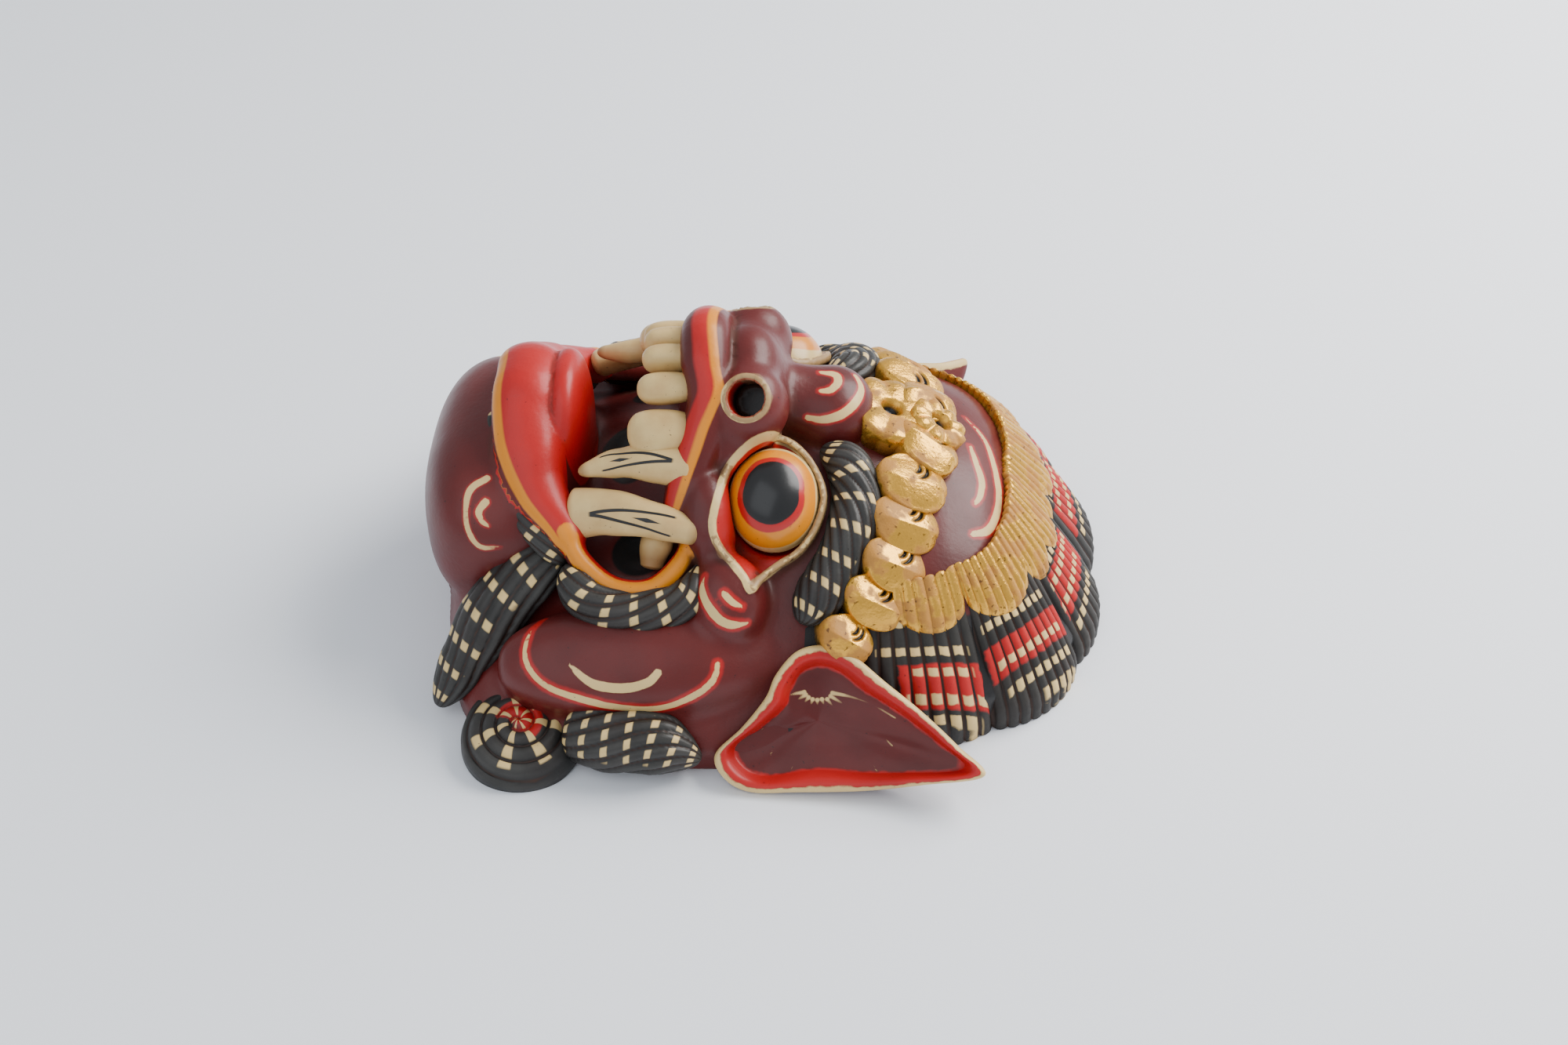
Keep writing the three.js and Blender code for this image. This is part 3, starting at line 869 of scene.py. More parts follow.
normals = unit(slope(carved, skin, 0.3))
# How deep each point lies in a crevice: the lacquer turns brown there, as dirt and painted shade.
crevice = 3 - carved(skin + normals * 3)
worn_edge = carved(skin - normals * 2) + 2
bore_radius, bore_height = nostril_place(near_half)
bore_radius = np.where(bore_height > -16, bore_radius, 20.0)
mouth_wall = np.minimum(*[np.abs(form[2](near_half)) for form in MOUTH[:2]])
bare = np.where(normals[:, 2] < -0.6, 0.0, np.abs(HOLLOW[2](skin)) + 20.0 * (normals[:, 2] > 0.1))
block = make_mesh(
    "carved_block", skin, skin_faces,
    **{name: distance_and_angle(near_half, route) for name, route in MOUTH_ROLLS.items()},
    hollows=packed(mouth_wall, tongue[2](skin), socket_edge(near_half)),
    nostril=packed(bore_radius, bore_height),
    stroke=packed(cream, halo, bed_distance(skin)),
    wear=packed(crevice, worn_edge, bare),
)

# %% [markdown]
# ## Fluted hair
# The hair is a fan of locks that slopes from the dome to the rim. Each lock is a pad cut with
# V-shaped flutes. The pads are a fan of profiles, and a Geometry Nodes tree cuts the flutes along
# the skin's own normal, because their depth follows one rule everywhere.

# %% Fan of hair profiles
LOCK_EDGES = [-102, -57, -29, 0, 29, 57, 102]
LOCK_FLUTES = [12, 10, 9, 9, 10, 12]
FLUTE_STEPS = 8
HAIR_START_AT = [0, 21, 36, 49, 58, 71, 79, 84]
HAIR_START = [0.64, 0.68, 0.71, 0.73, 0.75, 0.765, 0.75, 0.66]
HAIR_ROWS, COLLAR_ROWS = 56, 22


def lock_position(degrees):
    """Which lock an angle is in, and how far across it, 0 to 1."""
    lock = np.clip(np.searchsorted(LOCK_EDGES, degrees, side="right") - 1, 0, len(LOCK_FLUTES) - 1)
    edges = np.asarray(LOCK_EDGES, float)
    return lock, (degrees - edges[lock]) / (edges[lock + 1] - edges[lock])


def fan_columns():
    angles, phases = [], []
    for first, last, flutes in zip(LOCK_EDGES, LOCK_EDGES[1:], LOCK_FLUTES):
        count = flutes * FLUTE_STEPS
        angles.append(np.linspace(first, last, count, endpoint=False))
        phases.append(np.linspace(0, flutes, count, endpoint=False))
    angles.append([LOCK_EDGES[-1]])
    phases.append([LOCK_FLUTES[-1]])
    return np.concatenate(angles), np.concatenate(phases)


def hair_surface(degrees, share, lift=0.0):
    """A point on the hair's skin, in millimetres."""
    lock, across = lock_position(degrees)
    rise = np.sqrt(np.maximum(np.sin(np.pi * across), 0))
    dip = 1 - rise
    radius = hair_radius(degrees) * share * (1 - 0.05 * dip * share ** 4)
    height = hair_height(degrees, share) - 3.0 * dip * np.clip((share - 0.7) / 0.2, 0, 1)
    angle = np.radians(degrees)
    return np.stack([HAIR_CENTRE + radius * np.cos(angle), radius * np.sin(angle), height + lift], -1)


def hair_profile(degrees):
    """One closed profile: out over the top, round the rim, and back underneath."""
    shares = np.linspace(np.interp(abs(degrees), HAIR_START_AT, HAIR_START), 0.985, HAIR_ROWS)
    top = hair_surface(degrees, shares)
    edge = hair_surface(degrees, np.array(0.997))
    rim = [edge * (1, 1, z) for z in (0.88, 0.6, 0.3, 0.05)]
    out = np.array((math.cos(math.radians(degrees)), math.sin(math.radians(degrees)), 0))
    below = np.array((0, 0, 5))
    under = [rim[-1] - out * 3, top[-1] - out * 5 - below, top[HAIR_ROWS // 2] - below, top[0] - below]
    return np.vstack([top, rim, under])


def fan_skin(name, profiles, angles, phases, cut_here):
    """A closed skin over a fan of profiles, with what the flutes and the paint need to know."""
    rows = profiles.shape[1]
    reach = np.hypot(profiles[..., 0] - HAIR_CENTRE, profiles[..., 1])
    return outward(closed_skin(
        name,
        profiles,
        degrees=np.repeat(angles[:, None], rows, 1),
        share=reach / hair_radius(angles)[:, None],
        phase=np.repeat(phases[:, None], rows, 1),
        cut_here=np.tile(cut_here, (len(angles), 1)),
    ))


# %% Hair
angles, phases = fan_columns()
fan = np.array([hair_profile(angle) for angle in angles])
cut_here = np.r_[np.linspace(0.8, 1, HAIR_ROWS), 0.9, 0.9, 0.8, 0.6, 0, 0, 0, 0]
hair = fan_skin("fluted_hair", fan, angles, phases, cut_here)
print("hair:", len(angles), "profiles of", fan.shape[1], "points")


# %% Cutting the flutes
def flute_tree():
    tree, given = new_tree("carve_flutes", {"Depth": 1.0 * MM, "Roundness": 0.55})
    near = Value(tree)
    ridge = (attribute(near, "phase") * math.pi).math("SINE").math("ABSOLUTE")
    ridge = ridge.math("POWER", given["Roundness"])
    depth = (ridge - 1) * attribute(near, "cut_here") * given["Depth"]
    offset = near.node("GeometryNodeInputNormal").scaled(depth)
    shape = near.node("GeometryNodeSetPosition", {"Geometry": given["Geometry"], "Offset": offset})
    close_tree(tree, shape, given["Paint"])
    return tree


carve_flutes = flute_tree()
grow(hair, carve_flutes, Depth=1.3 * MM, Paint=PAINTS["hair_paint"])

# %% [markdown]
# ## The gilded collar
# A collar of gilded scallops lies where the hair meets the dome. It follows the hair's skin a little
# above it, with the same flutes, and its lower edge runs in and out once for each scallop.

# %% Gilded collar
COLLAR_EDGES = [-79, -57, -33.5, -19.5, -4, 4, 19.5, 33.5, 57, 79]


def collar_edge(degrees):
    """Share of the hair's radius at which the collar ends."""
    edges = np.asarray(COLLAR_EDGES, float)
    scallop = np.clip(np.searchsorted(edges, degrees, side="right") - 1, 0, len(edges) - 2)
    across = (degrees - edges[scallop]) / (edges[scallop + 1] - edges[scallop])
    return 0.745 + 0.055 * np.maximum(np.sin(np.pi * across), 0) ** 0.6


gilded = np.abs(angles) <= COLLAR_EDGES[-1]


def collar_profile(degrees):
    """One closed profile: up out of the dome, along over the hair, and back underneath."""
    outer = collar_edge(degrees)
    inner = np.interp(abs(degrees), DOME_EDGE_AT, DOME_EDGE)
    shares = np.linspace(inner - 0.075, outer - 0.012, COLLAR_ROWS)
    lifts = np.r_[-9, -5, -1.5, 1.2, 2.8, np.linspace(3.3, 2.0, COLLAR_ROWS - 5)]
    top = hair_surface(degrees, shares, lifts)
    turns = [(outer - 0.004, 1.3), (outer, 0.2), (outer - 0.004, -2.5), (inner - 0.06, -11.0)]
    return np.vstack([top, *[hair_surface(degrees, share, lift)[None] for share, lift in turns]])


ring = np.array([collar_profile(angle) for angle in angles[gilded]])
cut_here = np.r_[np.full(COLLAR_ROWS, 0.9), 0.9, 0.7, 0, 0]
collar = fan_skin("gilded_collar", ring, angles[gilded], phases[gilded], cut_here)
grow(collar, carve_flutes, Depth=1.2 * MM, Paint=PAINTS["gold_leaf"])
print("collar:", len(ring), "profiles")

# %% [markdown]
# ## Leaves of the crown
# A centre flower and a row of leaves stand between the brows and the dome. Each is a pad with a
# wavy edge, a ridge from its root to its tip and two crescents cut beside it.

# %% Leaves of the crown
def leaf(centre, half_length, half_width, heading, slope, fall, waves=5, flower=0.0):
    columns, rows = 96, 22
    angle = np.linspace(0, 2 * math.pi, columns, endpoint=False)
    wave = 1 + 0.06 * np.abs(np.sin(angle * waves / 2)) ** 0.7 - 0.05
    share = np.r_[np.linspace(0.05, 1, rows), 1.0, 0.96]
    lift = np.r_[2.6 - 1.6 * np.linspace(0.05, 1, rows) ** 4, -1.5, -7]
    x = share[:, None] * np.cos(angle) * wave * half_length
    y = share[:, None] * np.sin(angle) * wave * half_width
    z = np.repeat(lift[:, None], columns, 1)
    top = (np.arange(rows + 2) < rows)[:, None]
    ridge = np.abs(y / half_width - 0.25 * x / half_length + 0.1)
    z = z + top * (1 - flower) * np.clip(1.6 - 2.6 * ridge, -0.6, 1.6) * (1 - share[:, None] ** 6)
    cuts = np.zeros_like(z)
    for reach in (0.42, 0.64):
        from_bow_x, from_bow_y = x / half_length + 0.35, y / half_width - 0.55
        bow = np.hypot(from_bow_x, from_bow_y) - reach
        inside = np.clip(1 - np.abs(np.arctan2(from_bow_y, from_bow_x) + 0.2) / 0.75, 0, 1)
        cuts = np.maximum(cuts, np.clip(1 - np.abs(bow) / 0.09, 0, 1) * np.sqrt(inside))
    eye = np.clip(1.25 - np.hypot(x, y) / 3.2, 0, 1)
    petals = np.abs(np.sin(angle * waves / 2))[None, :] * np.clip((share[:, None] - 0.3) * 2, 0, 1)
    z = z - top * ((1 - flower) * 1.5 * cuts + flower * (4.0 * np.minimum(eye * 1.5, 1) - 1.2 * petals))
    pad = np.stack([x, y, z], -1) @ turned((fall, slope, heading)).T + centre
    return pad, np.maximum((1 - flower) * cuts, flower * eye) * top


LEAVES = [
    ((45, -26, 64), 12, 9.5, -12, 26, 18),
    ((43, -38, 58), 11.5, 9, -20, 26, 30),
    ((40, -49, 51), 11, 8.5, -26, 26, 38),
    ((34, -58, 44), 10.5, 8, -32, 24, 45),
    ((26, -67, 37), 9, 7, -38, 22, 48),
    ((50, -11, 66), 11, 9, -30, 30, 6),
]
crown = []
for number, (centre, *sizes) in enumerate(LEAVES):
    pad, cuts = leaf(centre, *sizes)
    crown += mirrored_pair(f"crown_leaf_{number}", pad, {"cuts": cuts})
for name, centre, sizes, petals in (
    ("crown_flower", (38, 0, 71), (13, 14, 0, 20, 0), 7),
    ("crown_fan", (53, 0, 66), (10, 9, 0, 34, 0), 9),
):
    pad, cuts = leaf(centre, *sizes, waves=petals, flower=1.0)
    crown.append(outward(closed_skin(name, pad, cuts=cuts)))
print("crown:", len(crown), "leaves and flowers")

# %% [markdown]
# ## Locks, brows and whiskers
# These are round locks of hair that run along a curve, with fine ridges that twist round them. A
# Geometry Nodes tree bends a grid round the curve: one way of the grid runs along it and the other
# round it, and the ridges are a wave on the two together.

# %% A ridged roll along a curve
def sampled(near, curve, value, kind):
    return near.node(
        "GeometryNodeSampleCurve",
        {"Curves": curve, "Value": value[0], "Factor": value[1]},
        output=0,
        data_type=kind,
        mode="FACTOR",
    )


def roll_tree():
    tree, given = new_tree("ridged_roll", {
        "Ridges": 9.0, "Twist": 4.0, "Ridge Depth": 0.12, "Blunt Ends": 0.12,
        "Steps Along": 120, "Steps Around": 73,
    })
    near = Value(tree)
    curve = near.node("GeometryNodeMeshToCurve", {"Mesh": given["Geometry"]})
    grid = near.node("GeometryNodeMeshGrid", {
        "Size X": 1.0, "Size Y": 1.0, "Vertices X": given["Steps Along"], "Vertices Y": given["Steps Around"],
    })
    place = near.node("GeometryNodeInputPosition").parts()
    along, around = place[0] + 0.5, place[1] + 0.5
    for name, value in (("along", along), ("around", around)):
        grid = near.node("GeometryNodeStoreNamedAttribute", {"Geometry": grid, "Name": name, "Value": value})
    along, around = attribute(near, "along"), attribute(near, "around")
    half_width = sampled(near, curve, (attribute(near, "half_width"), along), "FLOAT")
    half_height = sampled(near, curve, (attribute(near, "half_height"), along), "FLOAT")
    lean = sampled(near, curve, (attribute(near, "lean", "FLOAT_VECTOR"), along), "FLOAT_VECTOR")
    outputs = lean.socket.node.outputs
    centre, tangent = Value(tree, outputs["Position"]), Value(tree, outputs["Tangent"])
    across = lean.vector("CROSS_PRODUCT", tangent).vector("NORMALIZE")
    out = tangent.vector("CROSS_PRODUCT", across)
    ends = along.math("MINIMUM", 1 - along) / given["Blunt Ends"]
    ends = 1 - ends.math("MINIMUM", 1.0)
    size = (1 - ends * ends).math("MAXIMUM", 0.0).math("SQRT")
    wave = ((around * given["Ridges"] + along * given["Twist"]) * math.pi).math("SINE").math("ABSOLUTE")
    grid = near.node("GeometryNodeStoreNamedAttribute", {"Geometry": grid, "Name": "ridge", "Value": wave})
    size = size * (1 - given["Ridge Depth"] * (1 - attribute(near, "ridge").math("POWER", 0.7)))
    angle = (around - 0.25) * (2 * math.pi)
    sideways = across.scaled(angle.math("COSINE") * half_width * size)
    upward = out.scaled(angle.math("SINE") * half_height * size)
    position = centre.vector("ADD", sideways).vector("ADD", upward)
    shape = near.node("GeometryNodeSetPosition", {"Geometry": grid, "Position": position})
    shape = near.node("GeometryNodeMergeByDistance", {"Geometry": shape, "Distance": 0.00001})
    close_tree(tree, shape, given["Paint"])
    return tree


ridged_roll = roll_tree()


def make_roll(name, points, widths, heights, lean, paint, flip=1, **sizes):
    line, _, _, _, half_widths, half_heights = path_frame(points, widths, heights, lean, 60)
    piece = make_line(
        name, line * (1, flip, 1),
        half_width=half_widths * MM, half_height=half_heights * MM,
        lean=np.tile(unit(np.asarray(lean, float)) * (1, flip, 1), (60, 1)),
    )
    return grow(piece, ridged_roll, Paint=PAINTS[paint], **sizes)


ROLLS = {
    "brow": ([[17, -17, 70], [25, -23, 68], [28, -32, 63], [26, -43, 57], [21, -52, 49], [12, -64, 40]],
             [5, 7.5, 8, 7.5, 8, 6], [5, 7, 7, 6.5, 7, 5], (0, -0.5, 0.85), 11.0, 9.0),
    "whisker": ([[-60, -49, 48], [-53, -58, 43], [-43, -62, 41], [-31, -62, 42], [-21, -58, 45],
                 [-17, -49, 51]],
                [5.5, 7, 7, 7, 6.5, 3.5], [5.5, 7.5, 7.5, 7.5, 7, 3.5], UP_AND_OUT, 9.0, 5.0),
    "beard": ([[-86, 0, 68], [-86, -12, 66], [-82, -25, 61], [-72, -38, 55], [-60, -48, 48]],
              [4, 4.5, 4.5, 4.5, 4.5], [4, 4.5, 4.5, 4.5, 4.5], (-0.3, -0.5, 0.7), 7.0, 3.0),
    "long_lock": ([[-60, -41, 48], [-73, -47, 41], [-85, -55, 29], [-95, -63, 13], [-101, -68, 4]],
                  [7, 11, 11.5, 9, 4.5], [4, 6, 7, 6, 4], (-0.5, -0.5, 0.7), 12.0, 3.0),
    "leaf_lock": ([[-59, -82, 11], [-46, -86, 12], [-32, -88, 12], [-17, -91, 8]],
                  [9, 11, 10, 4], [8, 10, 9, 5], (0, -0.6, 0.8), 12.0, 4.0),
}
rolls = []
for name, (points, widths, heights, lean, ridges, twist) in ROLLS.items():
    for side, flip in (("near", 1), ("far", -1)):
        rolls.append(make_roll(
            f"{name}_{side}", points, widths, heights, lean, "lock_paint", flip,
            Ridges=ridges, Twist=twist, Ridge_Depth=0.14,
        ))
print(len(rolls), "rolls")

# %% [markdown]
# ## Curls
# A curl at each lower corner is a round pad with a spiral cut into it like a shell's.

# %% Curls
def off_the_table(points):
    """Lifts what would lie under the table's top onto it."""
    return np.maximum(points, (-np.inf, -np.inf, 0))


def curl_rings():
    columns, radii = 144, np.r_[np.linspace(0.6, 17.5, 60), 18.6, 18.9, 18.2, 17.5]
    angle = np.linspace(0, 2 * math.pi, columns, endpoint=False)
    height = np.interp(radii, [0, 6, 12, 16, 17.5, 18.6, 18.9], [16.5, 15.5, 13.5, 11, 9.5, 6, 3])
    height[-2:] = (1.5, 0)
    turns = radii[:, None] / 4.6 - angle / (2 * math.pi)
    ridge = np.abs(np.sin(math.pi * turns)) ** 0.6
    depth = np.r_[np.full(60, 1.8), 0.8, 0, 0, 0][:, None]
    z = height[:, None] - depth * (1 - ridge)
    x, y = radii[:, None] * np.cos(angle), radii[:, None] * np.sin(angle)
    pad = np.stack([x, y, z], -1) @ turned((12, 0, 0)).T + (-73, -80, 0)
    fields = {
        "ridge": ridge,
        "from_centre": np.repeat(radii[:, None], columns, 1),
        "round_it": np.broadcast_to(np.cos(angle * 7), ridge.shape),
    }
    return off_the_table(pad), fields


curls = mirrored_pair("curl", *curl_rings())
print("curl:", [piece.name for piece in curls])

# %% [markdown]
# ## Teeth and tusks
# Front teeth are one shape set along the gum. A Geometry Nodes tree puts a rounded block on each
# point of the row, with its own size and turn. The tusks are smooth rolls.

# %% Teeth
NEAR_TEETH = [
    ((-28.5, -4.2, 93.5), (20, 8.6, 11), 8),
    ((-29, -13, 89), (21, 11, 11.5), 38),
    ((-30.5, -23, 80), (23, 15.5, 13), 46),
]
FRONT_TEETH = NEAR_TEETH + [((x, -y, z), size, -turn) for (x, y, z), size, turn in NEAR_TEETH]


def tooth_tree():
    tree, given = new_tree("tooth_row", {"Roundness": 2.5, "Root Taper": 0.25})
    near = Value(tree)
    cube = near.node("GeometryNodeMeshCube", {
        "Size": (2, 2, 2), "Vertices X": 22, "Vertices Y": 18, "Vertices Z": 18})
    x, y, z = near.node("GeometryNodeInputPosition").parts()
    total = sum(
        (part.math("ABSOLUTE").math("POWER", given["Roundness"]) for part in (y, z)),
        x.math("ABSOLUTE").math("POWER", given["Roundness"]),
    )
    size = 1 / total.math("POWER", 1 / given["Roundness"])
    taper = 1 - given["Root Taper"] * (x * 0.5 + 0.5)
    rounded = near.node("ShaderNodeCombineXYZ", {0: x * size, 1: y * size * taper, 2: z * size * taper})
    tooth = near.node("GeometryNodeSetPosition", {"Geometry": cube, "Position": rounded})
    tooth = near.node("GeometryNodeStoreNamedAttribute", {"Geometry": tooth, "Name": "along", "Value": x})
    euler = attribute(near, "turn", "FLOAT_VECTOR")
    row = near.node("GeometryNodeInstanceOnPoints", {
        "Points": given["Geometry"], "Instance": tooth,
        "Rotation": near.node("FunctionNodeEulerToRotation", {"Euler": euler}),
        "Scale": attribute(near, "half_size", "FLOAT_VECTOR"),
    })
    close_tree(tree, row, given["Paint"])
    return tree


tooth_row = tooth_tree()


def make_teeth(name, teeth):
    """Teeth from (centre, size, turn about X in degrees)."""
    points = [centre for centre, _, _ in teeth]
    piece = make_line(
        name, points, edges=False,
        half_size=np.array([np.array(size) / 2 * MM for _, size, _ in teeth]),
        turn=np.array([(math.radians(turn_), math.radians(-6), 0) for _, _, turn_ in teeth]),
    )
    return grow(piece, tooth_row, Paint=PAINTS["tooth_cream"])


front_teeth = make_teeth("front_teeth", FRONT_TEETH)
print("front teeth:", len(FRONT_TEETH))

# %% Tusks
TUSKS = {
    "upper_tusk": ([[-20, -31, 72], [-34, -29, 73], [-46, -28, 71], [-57, -30, 69]],
                   [7, 6.5, 4.5, 2], [6, 5, 4, 2], "tusk_cream"),
    "lower_tusk": ([[-60, -37, 58], [-48, -39, 61], [-34, -43, 62], [-18, -47, 60]],
                   [8, 7, 5.5, 4], [4.5, 4.5, 4.5, 4], "tusk_cream"),
    "molar": ([[-30, -38, 58], [-33, -44, 51], [-34, -48, 46]],
              [3, 5, 3.5], [3, 5, 3.5], "tooth_cream"),
}
tusks = []
for name, (points, widths, heights, paint) in TUSKS.items():
    for side, flip in (("near", 1), ("far", -1)):
        piece = make_roll(
            f"{name}_{side}", points, widths, heights, UP_AND_OUT, paint, flip,
            Ridges=1.0, Twist=0.0, Ridge_Depth=0.0, Blunt_Ends=0.08,
        )
        tusks.append((piece, paint))
print(len(tusks), "tusks and molars")

# %% [markdown]
# ## Eyes
# Each eye is a smooth ball set in its socket. Its painted rings lie round the pupil, which looks up
# and forward, and they widen toward the outer corner, so each point stores its distance from the
# pupil measured that way.

# %% Eyes
def ball_rings(centre, radii, turn, rows=72, columns=112):
    polar = np.linspace(0.01, math.pi - 0.01, rows)[:, None]
    angle = np.linspace(0, 2 * math.pi, columns, endpoint=False)
    sphere = np.stack(np.broadcast_arrays(
        np.sin(polar) * np.cos(angle), np.sin(polar) * np.sin(angle), np.cos(polar)), -1)
    return sphere * radii @ turned(turn).T + centre


PUPIL = np.array((2.6, -38.0, 71.0))
OUTER_CORNER = unit(np.array((-3.0, -20.0, -21.0)))
eye_rings = ball_rings(EYE_CENTRE, EYE_RADII, EYE_TURN)
offset = eye_rings - PUPIL
outwards = offset @ OUTER_CORNER
from_pupil = np.linalg.norm(offset, axis=-1)
stretched = from_pupil - np.maximum(outwards, 0) * 0.26
eyes = mirrored_pair("eye", eye_rings, {"ring": stretched})
print("eyes:", stretched.min().round(1), "to", stretched.max().round(1), "mm from the pupil")

# %% [markdown]
# ## Ears
# An ear is a leaf-shaped shell: a thick rim, a dish inside it, and a plain back. Rings of points run
# round it and step inward from the back, over the rim and down into the dish.

# %% Ears
EAR_RIM = [
    [-13, -91, 10], [-10, -96, 5], [-2, -98.5, 2], [12, -99, 3], [32, -99.5, 5], [50, -100, 9],
    [68, -101, 15], [60, -93, 19], [49, -85, 25], [38, -78, 30], [28, -72, 35], [19, -70, 37],
    [11, -72, 36], [5, -77, 31], [2, -82, 26], [-5, -87, 18],
]
EAR_HEART = np.array((18.0, -86.0, 20.0))
EAR_TILT = math.radians(50)
EAR_OUT = np.array((0, -math.sin(EAR_TILT), math.cos(EAR_TILT)))
EAR_UP = np.array((0, math.cos(EAR_TILT), math.sin(EAR_TILT)))
EAR_COLUMNS, OVER_ROWS, DISH_ROWS = 220, 26, 52


def ear_rings():
    rim = smooth_line(EAR_RIM, EAR_COLUMNS, closed=True)
    reach = np.linalg.norm(EAR_HEART - rim, axis=1)[:, None]
    inward = (EAR_HEART - rim) / reach
    sections = [(0.95, -10), (0.6, -10), (0.25, -9.6), (0.1, -9)]
    rings = [rim + inward * reach * share + EAR_OUT * lift for share, lift in sections]
    turn = [[1.6, -8.2], [0.5, -5], [0, -2], [0.6, -0.4], [2, 0.1], [3.6, -0.3], [5, -1.8], [6.6, -4.4]]
    over = smooth_line(turn, OVER_ROWS)
    rings += [rim + inward * np.minimum(inset, reach * 0.8) + EAR_OUT * lift for inset, lift in over]
    last = rings[-1]
    for share in np.linspace(0.04, 0.97, DISH_ROWS):
        lift = -1.9 * math.sin(math.pi * min(share, 0.5)) + 1.0 * math.sin(math.pi * share) ** 2
        rings.append(last * (1 - share) + (EAR_HEART - EAR_OUT * 5) * share + EAR_OUT * lift)
    return off_the_table(np.array(rings))


def ear_strokes(p):
    """Distance to a fan of fine brush strokes that starts under the ear's inner rim."""
    nearest = np.full(p.shape[:-1], FAR_AWAY)
    for k in range(9):
        way = math.radians(-158 + 17.5 * k)
        length = 17 + 9 * math.sin(math.pi * k / 8) + 6 * (k > 5)
        start = np.array((15.5 + 0.5 * k, -80.5, 27.0))
        step = np.array((math.cos(way), 0, 0)) + math.sin(way) * EAR_UP
        share = np.clip((p - start) @ step / length, 0.12, 1)
        bend = np.sin(share * math.pi)[..., None] * EAR_UP * 1.6
        away = p - start - bend - share[..., None] * step * length
        away = away - (away @ EAR_OUT)[..., None] * EAR_OUT
        gap = np.linalg.norm(away, axis=-1)
        nearest = np.minimum(nearest, gap - 0.55 * (1.25 - share))
    return nearest


rings = ear_rings()
inset = np.r_[np.full(4, -5.0), np.linspace(-1.5, 7, OVER_ROWS), np.linspace(7.4, 20, DISH_ROWS)]
inset = np.repeat(inset[:, None], EAR_COLUMNS, 1)
ears = mirrored_pair("ear", rings, {"inset": inset, "stroke": ear_strokes(rings)})
print("ear:", rings.shape[0], "rings of", rings.shape[1], "points")

# %% [markdown]
# ## Paint, lacquer and gold
# The colours are few: dark red lacquer, bright red, orange, cream and black, with gold leaf on the
# crown. All are brushed by hand, so each paint has uneven colour, fine bumps from the brush and a soft
# gloss; the grooves carry dirt and painted shade.

# %% Mixing paint
FACTOR, UNDER, OVER, MIXED = 0, 6, 7, 2


def srgb(red, green, blue):
    """A colour from its screen values, 0 to 255."""
    parts = [value / 255 for value in (red, green, blue)]
    return (*[part / 12.92 if part < 0.04 else ((part + 0.055) / 1.055) ** 2.4 for part in parts], 1)


MAROON, DEEP_MAROON = srgb(96, 26, 24), srgb(52, 18, 18)
RED, ORANGE, CREAM = srgb(176, 22, 22), srgb(216, 130, 8), srgb(214, 184, 124)
BLACK, SOOT, BROWN = srgb(24, 24, 25), srgb(14, 13, 13), srgb(62, 36, 22)
GOLD, OCHRE, WOOD = srgb(214, 160, 62), srgb(176, 122, 52), srgb(128, 92, 62)
# Lighter greys for the crests of the hair, locks and curls: wear and painted highlight.
HAIR_WEAR_AND_HIGHLIGHT, LOCK_WEAR_AND_HIGHLIGHT = srgb(70, 67, 62), srgb(84, 82, 78)
TOOTH_STAIN, TUSK_STAIN, ROOT_BROWN = srgb(176, 132, 78), srgb(182, 140, 88), srgb(120, 78, 42)


def start_paint(name):
    material = PAINTS[name]
    material.use_nodes = True
    material.node_tree.nodes.clear()
    near = Value(material.node_tree)
    return near, near.node("ShaderNodeTexCoord", output="Object")


def noise(near, place, scale, detail=4.0):
    return near.node("ShaderNodeTexNoise", {"Vector": place, "Scale": scale, "Detail": detail})


def field(near, name):
    return near.node("ShaderNodeAttribute", attribute_name=name, output="Fac")


def fields(near, name):
    """The numbers that were packed in one vector."""
    return near.node("ShaderNodeAttribute", attribute_name=name, output="Vector").parts()


def mix(mask, under, over):
    """The second colour laid over the first where the mask is 1."""
    colours = {FACTOR: mask, UNDER: under, OVER: over}
    return mask.node("ShaderNodeMix", colours, MIXED, data_type="RGBA")


def end_paint(near, colour, roughness, height, metallic=0.0, coat=0.15):
    bump = near.node("ShaderNodeBump", {"Height": height, "Distance": 1.0 * MM, "Strength": 0.6})
    paint = near.node("ShaderNodeBsdfPrincipled", {
        "Base Color": colour, "Roughness": roughness, "Metallic": metallic,
        "Coat Weight": coat, "Coat Roughness": 0.22, "Specular IOR Level": 0.3, "Normal": bump,
    })
    near.node("ShaderNodeOutputMaterial", {"Surface": paint})
    print(len(near.tree.nodes), "nodes")


def aged_and_shaded(near, place, colour, crevice=None, amount=0.5):
    """Uneven colour, dirt as small dark specks, and brown in the crevices as dirt and painted shade."""
    cloud = noise(near, place, 55.0)
    colour = mix((cloud - 0.45) * amount, colour, DEEP_MAROON)
    if crevice is not None:
        # Brown in the crevices: dirt and painted shade.
        colour = mix(crevice * 0.75, colour, BROWN)
    specks = noise(near, place, 900.0, 2.0).over(0.72, 0.06) * noise(near, place, 120.0).over(0.52, 0.1)
    return mix(specks * 0.7, colour, SOOT)


# %% [markdown]
# ### The block
# Maroon lacquer goes on first, then the brush strokes, the bands along the lips, the dark of the mouth and
# the red of the eye sockets. Each lip's band is the part of the roll between two angles round it. The last
# layers are dirt with painted shade, brown in the crevices, then chips on the sharpest edges and the bare
# wood behind.

# %% Strokes, lips and hollows
LIP_BANDS = {
    "upper_lip": (1.6, ((RED, (76, 8), (125, 10)), (ORANGE, (60, 5), (84, 8)))),
    "lower_lip": (1.8, ((RED, (-150, 6), (150, 6)), (ORANGE, (140, 5), (166, 5)))),
    "mouth_corner": (1.0, ((RED, (15, 6), (60, 6)), (ORANGE, (48, 6), (125, 6)))),
}


def paint_strokes(near, colour, wobble):
    cream_gap, halo_gap, _ = fields(near, "stroke")
    colour = mix((halo_gap + wobble).under(1.1, 0.9) * 0.8, colour, RED)
    return mix((cream_gap + wobble * 0.35).under(0.0, 0.25), colour, CREAM)


